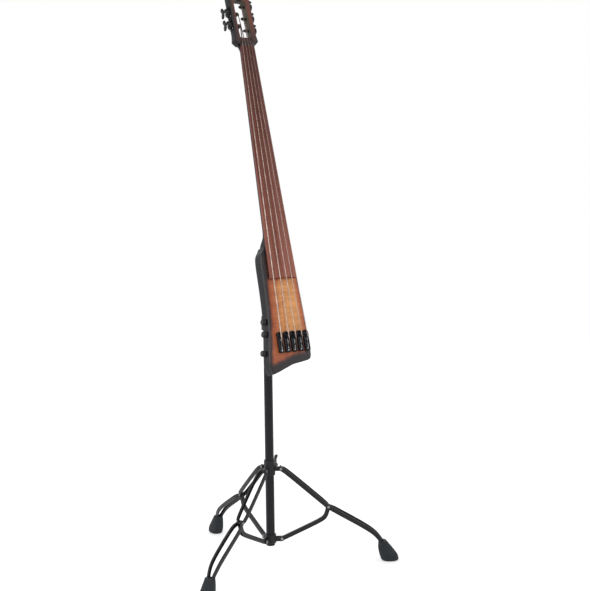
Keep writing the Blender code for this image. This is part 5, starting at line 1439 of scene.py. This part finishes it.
def make_wing_screw(screw, place, body):
    """Clamping screw with a moulded two-winged handle; its steel end shows in the boss."""
    start = SCREW_BOSS_REACH + GAP
    end = start + SCREW_SHANK
    shank = rod(SCREW_RADIUS, TUBE_RADIUS + 2 * GAP, start + 0.001, 32, "X")
    piece(f"{screw}_visual_shank", shank, place, body, STEEL)
    wide = HANDLE_RADIUS
    profile = ((0.0, start), (wide - 0.0004, start), (wide, start + 0.0004), (wide, end - 0.0022),
               (wide - 0.0006, end - 0.0010), (wide - 0.0018, end - 0.0002), (wide - 0.0030, end), (0.0, end))
    half = WING_SPAN / 2
    dip = start + 0.002
    low = start + WING_RISE
    right = ((0.25 * half, dip), (0.62 * half, dip + 0.0022), (0.90 * half, low),
             (half, low + 0.35 * WING_WIDTH), (half, low + 0.80 * WING_WIDTH),
             (0.86 * half, low + WING_WIDTH), (0.62 * half, low + 0.80 * WING_WIDTH),
             (0.34 * half, end + 0.002))
    line = smooth_line(right, 6)
    line += [(-across, out) for across, out in reversed(line)]
    wings = pillow(line, (dip + low + WING_WIDTH) / 2, WING_THICKNESS,
                   ((0.25, 0.985), (0.42, 0.94), (0.5, 0.86)), lambda a, b, depth: (b, depth, a))
    piece(f"{screw}_visual_grip", turned(profile, 40, "X"), place, body, PLASTIC, screw,
          joins=[wings])


def make_height_clamp():
    """Collar over the outer tube's mouth with a rolled lip."""
    high = TUBE_TOP + CLAMP_LIP
    low = high - CLAMP_HEIGHT
    bore = SLEEVE_BORE
    wide = bore + CLAMP_WALL
    mouth = INNER_TUBE_RADIUS + TUBE_PLAY
    profile = ((bore, low + 0.0005), (bore + 0.0005, low), (wide - 0.0012, low),
               (wide - 0.0003, low + 0.0004), (wide, low + 0.0014), (wide, high - 0.0040),
               (wide - 0.0004, high - 0.0022),
               (wide - 0.0016, high - 0.0007), (wide - 0.0030, high), (mouth + 0.0006, high),
               (mouth, high - 0.0006), (mouth, TUBE_TOP + GAP), (bore, TUBE_TOP + GAP))
    clamp = add_object("post_clamp", turned(profile, 64), STAND)
    screw = STAND @ move(0, 0, mix(low, high, 0.45))
    screw_seat(clamp, screw)
    finish(clamp, "stand", PLASTIC, "height_clamp")
    make_wing_screw("height_screw", screw, "height_lock")


def lug(low, high):
    """Round-ended lug from a sleeve's wall to past its pivot."""
    start = TUBE_RADIUS + 0.6 * COLLAR_WALL
    outline = [(start, -LUG_RADIUS), *arc((HUB_PIVOT_REACH, 0.0), LUG_RADIUS, -pi / 2, pi / 2, 20),
               (start, LUG_RADIUS)]
    return prism(outline, low, high, front_view)


def pin_bore():
    return rod(PIN_RADIUS + GAP, -LUG_WIDTH, LUG_WIDTH, 24, "Y")


def make_leg_collar():
    """Sliding sleeve with a lug for each leg."""
    place = STAND @ move(0, 0, LEG_PIVOT_HEIGHT)
    sleeve = lipped(SLEEVE_BORE, SLEEVE_BORE + COLLAR_WALL, LEG_COLLAR_LOW, LEG_COLLAR_HIGH, 0.0008)
    collar = add_object("sliding_collar", sleeve, place)
    half = LUG_WIDTH / 2
    for direction in LEG_DIRECTIONS:
        facing = place @ turn(direction)
        join(collar, lug(-half, half), facing, 0.0005)
        cut(collar, pin_bore(), facing @ move(HUB_PIVOT_REACH, 0, 0))
    screw = place @ move(0, 0, COLLAR_SCREW_HEIGHT) @ turn(COLLAR_SCREW_DIRECTION)
    screw_seat(collar, screw)
    finish(collar, "collar", POWDER, "leg_collar")
    make_wing_screw("collar_screw", screw, "collar_lock")


def make_brace_hub():
    """Fixed sleeve at the foot of the post with three riveted forks."""
    place = STAND @ move(0, 0, BRACE_PIVOT_HEIGHT)
    sleeve = lipped(SLEEVE_BORE, SLEEVE_BORE + COLLAR_WALL, BRACE_HUB_LOW, BRACE_HUB_HIGH, 0.0008)
    hub = add_object("foot_hub", sleeve, place)
    inside = LUG_WIDTH / 2 + PIVOT_GAP
    for name, direction in zip(LEG_NAMES, LEG_DIRECTIONS):
        facing = place @ turn(direction)
        for side in (-1, 1):
            join(hub, lug(*mirrored(side, inside, inside + HUB_SHEET)), facing, 0.0004)
        add_rivet(name + "_hub_rivet", facing @ move(HUB_PIVOT_REACH, 0, 0), inside + HUB_SHEET, "stand")
    finish(hub, "stand", POWDER, "brace_hub")


def add_rivet(name, place, reach, body):
    """Pin along Y with two domed heads, their undersides at the reach."""
    end = reach + RIVET_HEAD_HEIGHT
    wide = RIVET_HEAD_RADIUS
    half = [(0.0, end), (0.45 * wide, end - 0.00008), (0.75 * wide, end - 0.0003),
            (0.94 * wide, end - 0.0007), (wide, end - 0.0011), (wide, reach - 0.0003),
            (PIN_RADIUS, reach - 0.0003)]
    pin = turned([(radius, -along) for radius, along in half] + half[::-1], 28, "Y")
    piece(name, pin, place, body, RIVET_STEEL)


def extended(route, reach):
    """Lengthen a side-view route by reach, past its first point."""
    (a, b), (c, d) = route[:2]
    length = hypot(c - a, d - b)
    return [(a - (c - a) * reach / length, b - (d - b) * reach / length), *route]


def channel_bar(line, section, pivot):
    """Sweep a channel section along (reach, height, across) points."""
    rings = []
    for number, (reach, height, across) in enumerate(line):
        run = heading(line, number)
        rings.append([(reach - pivot[0] - run.y * up, across + out, height - pivot[1] + run.x * up)
                      for out, up in section])
    return loft(rings)


def side_channel(side):
    """Section of a leg bar with bent corners, its open side facing the other bar."""
    out = BAR_WIDTH / 2
    high = BAR_HEIGHT / 2
    low = high - BAR_SHEET
    back = out - BAR_SHEET
    bend = BAR_BEND
    inner = BAR_INNER_BEND
    line = [(-out, high), *arc((out - bend, high - bend), bend, pi / 2, 0.0, 3),
            *arc((out - bend, bend - high), bend, 0.0, -pi / 2, 3), (-out, -high), (-out, -low),
            (back - inner, -low), (back, inner - low), (back, low - inner), (back - inner, low), (-out, low)]
    return [(side * a, b) for a, b in line]


def leg_line(side, steps):
    """One bar's route with its spread, from behind the hub pivot into the boot."""
    pinched = LUG_WIDTH / 2 + PIVOT_GAP + BAR_WIDTH / 2
    spreads = [mix(pinched, BAR_SPREAD, share) for share in LEG_SPREADS] + [BAR_WIDTH / 2 - 2 * GAP]
    route = extended(LEG_ROUTE, LUG_RADIUS)
    points = [(*spot, side * spread) for spot, spread in zip(route, spreads[:1] + spreads)]
    return points[:1] + smooth_line(points[1:], steps)


def make_leg(name, facing):
    """Two pressed bars with their rivets, carried by the collar."""
    place = facing @ move(HIP[0], 0, HIP[1])
    body = name + "_leg_body"
    for side, tag, stands_for in ((-1, "a", None), (1, "b", name + "_leg")):
        bar = add_object(f"{name}_bar_{tag}", channel_bar(leg_line(side, 7), side_channel(side), HIP), place)
        finish(rounded(bar, 0.00025, 1, 70), body, POWDER, stands_for, 32)
    for tag, spot in (("hip", HIP), ("mid", MID_PIVOT)):
        middle = place @ move(spot[0] - HIP[0], 0, spot[1] - HIP[1])
        add_rivet(f"{name}_{tag}_rivet", middle, RIVET_REACH, body)


def make_brace(name, facing):
    """Single channel from the hub to between the bars of its leg."""
    pivot = BRACE_ROUTE[0]
    place = facing @ move(pivot[0], 0, pivot[1])
    half = LUG_WIDTH / 2
    high = BAR_HEIGHT / 2
    inner = half - BAR_SHEET
    under = high - BAR_SHEET
    bend = BAR_BEND
    section = [(-half, -high), *arc((bend - half, high - bend), bend, pi, pi / 2, 3),
               *arc((half - bend, high - bend), bend, pi / 2, 0.0, 3), (half, -high), (inner, -high),
               (inner, under), (-inner, under), (-inner, -high)]
    route = extended(extended(BRACE_ROUTE, 0.9 * LUG_RADIUS)[::-1], 0.9 * LUG_RADIUS)[::-1]
    line = [(*spot, 0.0) for spot in [route[0], *smooth_line(route[1:-1], 7), route[-1]]]
    brace = add_object(name + "_strut", channel_bar(line, section, pivot), place)
    for spot in (pivot, MID_PIVOT):
        cut(brace, pin_bore(), place @ move(spot[0] - pivot[0], 0, spot[1] - pivot[1]))
    finish(brace, name + "_brace_body", POWDER, name + "_brace", 32)


def squared(value):
    """Superellipse coordinate between a circle's and a square's."""
    return abs(value) ** BOOT_POWER * (1 if value >= 0 else -1)


def make_boot(name, facing, sides=56):
    """Moulded rubber boot with a groove above its foot and a pocket for the leg's end."""
    place = facing @ move(HIP[0], 0, HIP[1])
    reach, half_out, half_across = BOOT_SECTIONS[0][1:]
    levels = [(0.0000, reach, half_out - 0.0010, half_across - 0.0010),
              (0.0006, reach, half_out, half_across)]
    levels += [level for level in smooth_line(BOOT_SECTIONS, 5) if level[0] > 0.0010]
    rings = []
    for height, reach, half_out, half_across in levels:
        grow = -0.0007 if 0.0098 < height < 0.0124 else 0.0
        angles = [2 * pi * step / sides for step in range(sides)]
        rings.append([(reach - HIP[0] + (half_out + grow) * squared(cos(angle)),
                       (half_across + grow) * squared(sin(angle)), height - HIP[1]) for angle in angles])
    line = leg_line(1, 3)[-5:]
    run = heading(line, 4)
    line.append((line[-1][0] + GAP * run.x, line[-1][1] + GAP * run.y, line[-1][2]))
    pocket = []
    for number, (reach, height, across) in enumerate(line):
        run = heading(line, number)
        wide = across + BAR_WIDTH / 2 + GAP
        off = Vector((-run.y, run.x)) * (BAR_HEIGHT / 2 + GAP)
        middle = Vector((reach - HIP[0], height - HIP[1]))
        pocket.append([(middle.x + up * off.x, wide * out, middle.y + up * off.y)
                       for out, up in ((1, 1), (1, -1), (-1, -1), (-1, 1))])
    piece(name + "_boot_visual", loft(rings), place, name + "_leg_body", RUBBER,
          name + "_boot", cuts=[loft(pocket)], smooth=50)


# Stage


LIGHTS = (
    ("key_light", (-2.6, -3.2, 3.4), (0.0, 0.0, 0.9), (1.8, 1.8), 60.0, (1.0, 1.0, 1.0)),
    ("side_light", (-3.4, 0.6, 1.8), (0.0, 0.0, 0.9), (1.2, 2.4), 36.0, (0.95, 0.97, 1.0)),
    ("right_light", (2.6, -2.4, 2.0), (0.0, 0.0, 0.8), (1.4, 2.0), 24.0, (1.0, 1.0, 1.0)),
    ("back_light", (1.4, 3.4, 2.6), (0.0, 0.0, 0.9), (2.0, 2.0), 44.0, (1.0, 1.0, 1.0)),
)
GLOW_LEVELS = ((0.07, (0.355, 0.355, 0.355)), (0.13, (0.370, 0.370, 0.370)), (0.28, (0.475, 0.475, 0.475)),
               (0.50, (0.512, 0.512, 0.512)), (0.95, (0.530, 0.530, 0.530)))
WHITE = (1.0, 1.0, 1.0, 1.0)
FLOOR_REACH = 30.0
FLOOR_HEIGHT = -0.0002
CAMERA_PLACE = (-1.603, -2.8412, 1.097)
CAMERA_AZIMUTH = atan2(0.5255, 0.8508)
CAMERA_PITCH = radians(5.33)
CAMERA_ROLL = radians(-0.73)
CAMERA_LENS = 66.8


def seen_rays(tree):
    """1 for rays that show the background: from the camera, or by way of metal or glass."""
    path = node(tree, "ShaderNodeLightPath").outputs
    other = maths(tree, "MAXIMUM", path["Is Glossy Ray"], path["Is Transmission Ray"])
    return maths(tree, "MAXIMUM", path["Is Camera Ray"], other)


def floor_finish():
    """Pale floor that reads as the white background and darkens where the object shades it."""
    material = bpy.data.materials.new("white_floor")
    material.use_nodes = True
    tree = material.node_tree
    tree.nodes.clear()
    matt = node(tree, "ShaderNodeBsdfDiffuse", [("Color", (0.86, 0.86, 0.86, 1.0))]).outputs[0]
    away = node(tree, "ShaderNodeVectorMath", [(0, object_place(tree))], operation="LENGTH")
    level = ramp(tree, value_range(tree, away.outputs["Value"], 0.0, 16.0), GLOW_LEVELS)
    glow = node(tree, "ShaderNodeEmission", [("Color", WHITE), ("Strength", level)]).outputs[0]
    both = node(tree, "ShaderNodeAddShader", [(0, matt), (1, glow)]).outputs[0]
    pick = node(tree, "ShaderNodeMixShader", [(0, seen_rays(tree)), (1, matt), (2, both)]).outputs[0]
    node(tree, "ShaderNodeOutputMaterial", [("Surface", pick)])
    return material


def make_floor():
    mesh = bpy.data.meshes.new("floor")
    signs = ((-1, -1), (1, -1), (1, 1), (-1, 1))
    mesh.from_pydata([(a * FLOOR_REACH, b * FLOOR_REACH, FLOOR_HEIGHT) for a, b in signs], [], [(0, 1, 2, 3)])
    mesh.materials.append(floor_finish())
    link("floor", mesh)


def make_lights():
    """Area lights, and a world that lights softly and shows white."""
    world = bpy.data.worlds.new("studio")
    world.use_nodes = True
    bpy.context.scene.world = world
    tree = world.node_tree
    tree.nodes.clear()
    lit = node(tree, "ShaderNodeBackground", [("Color", (0.90, 0.90, 0.91, 1.0)), ("Strength", 0.62)])
    seen = node(tree, "ShaderNodeBackground", [("Color", WHITE), ("Strength", 1.0)])
    shades = [(0, seen_rays(tree)), (1, lit.outputs[0]), (2, seen.outputs[0])]
    pick = node(tree, "ShaderNodeMixShader", shades).outputs[0]
    node(tree, "ShaderNodeOutputWorld", [("Surface", pick)])
    for name, place, aim, size, power, colour in LIGHTS:
        lamp = bpy.data.lights.new(name, "AREA")
        lamp.shape = "RECTANGLE"
        lamp.size, lamp.size_y = size
        lamp.energy = power
        lamp.color = colour
        back = (Vector(place) - Vector(aim)).normalized()
        link(name, lamp, move(*place) @ back.to_track_quat("Z", "Y").to_matrix().to_4x4())


def make_camera():
    scene = bpy.context.scene
    camera = bpy.data.cameras.new("camera")
    camera.sensor_fit = "HORIZONTAL"
    camera.sensor_width = 36.0
    camera.lens = CAMERA_LENS
    camera.clip_start = 0.05
    camera.clip_end = 200.0
    aim = turn(-CAMERA_AZIMUTH) @ turn(pi / 2 - CAMERA_PITCH, "X") @ turn(CAMERA_ROLL)
    scene.camera = link("camera", camera, move(*CAMERA_PLACE) @ aim)
    scene.view_settings.view_transform = "Standard"


def main():
    make_top()
    make_sides()
    make_neck()
    make_fingerboard()
    make_nut()
    make_knobs()
    make_jack()
    make_cover()
    make_bridges()
    make_strings()
    make_tuners()
    make_mount()
    make_tilt_bolt()
    make_tilt_head()
    make_tubes()
    make_height_clamp()
    make_leg_collar()
    make_brace_hub()
    for name, direction in zip(LEG_NAMES, LEG_DIRECTIONS):
        facing = STAND @ turn(direction)
        make_leg(name, facing)
        make_brace(name, facing)
        make_boot(name, facing)
    make_floor()
    make_lights()
    make_camera()


main()
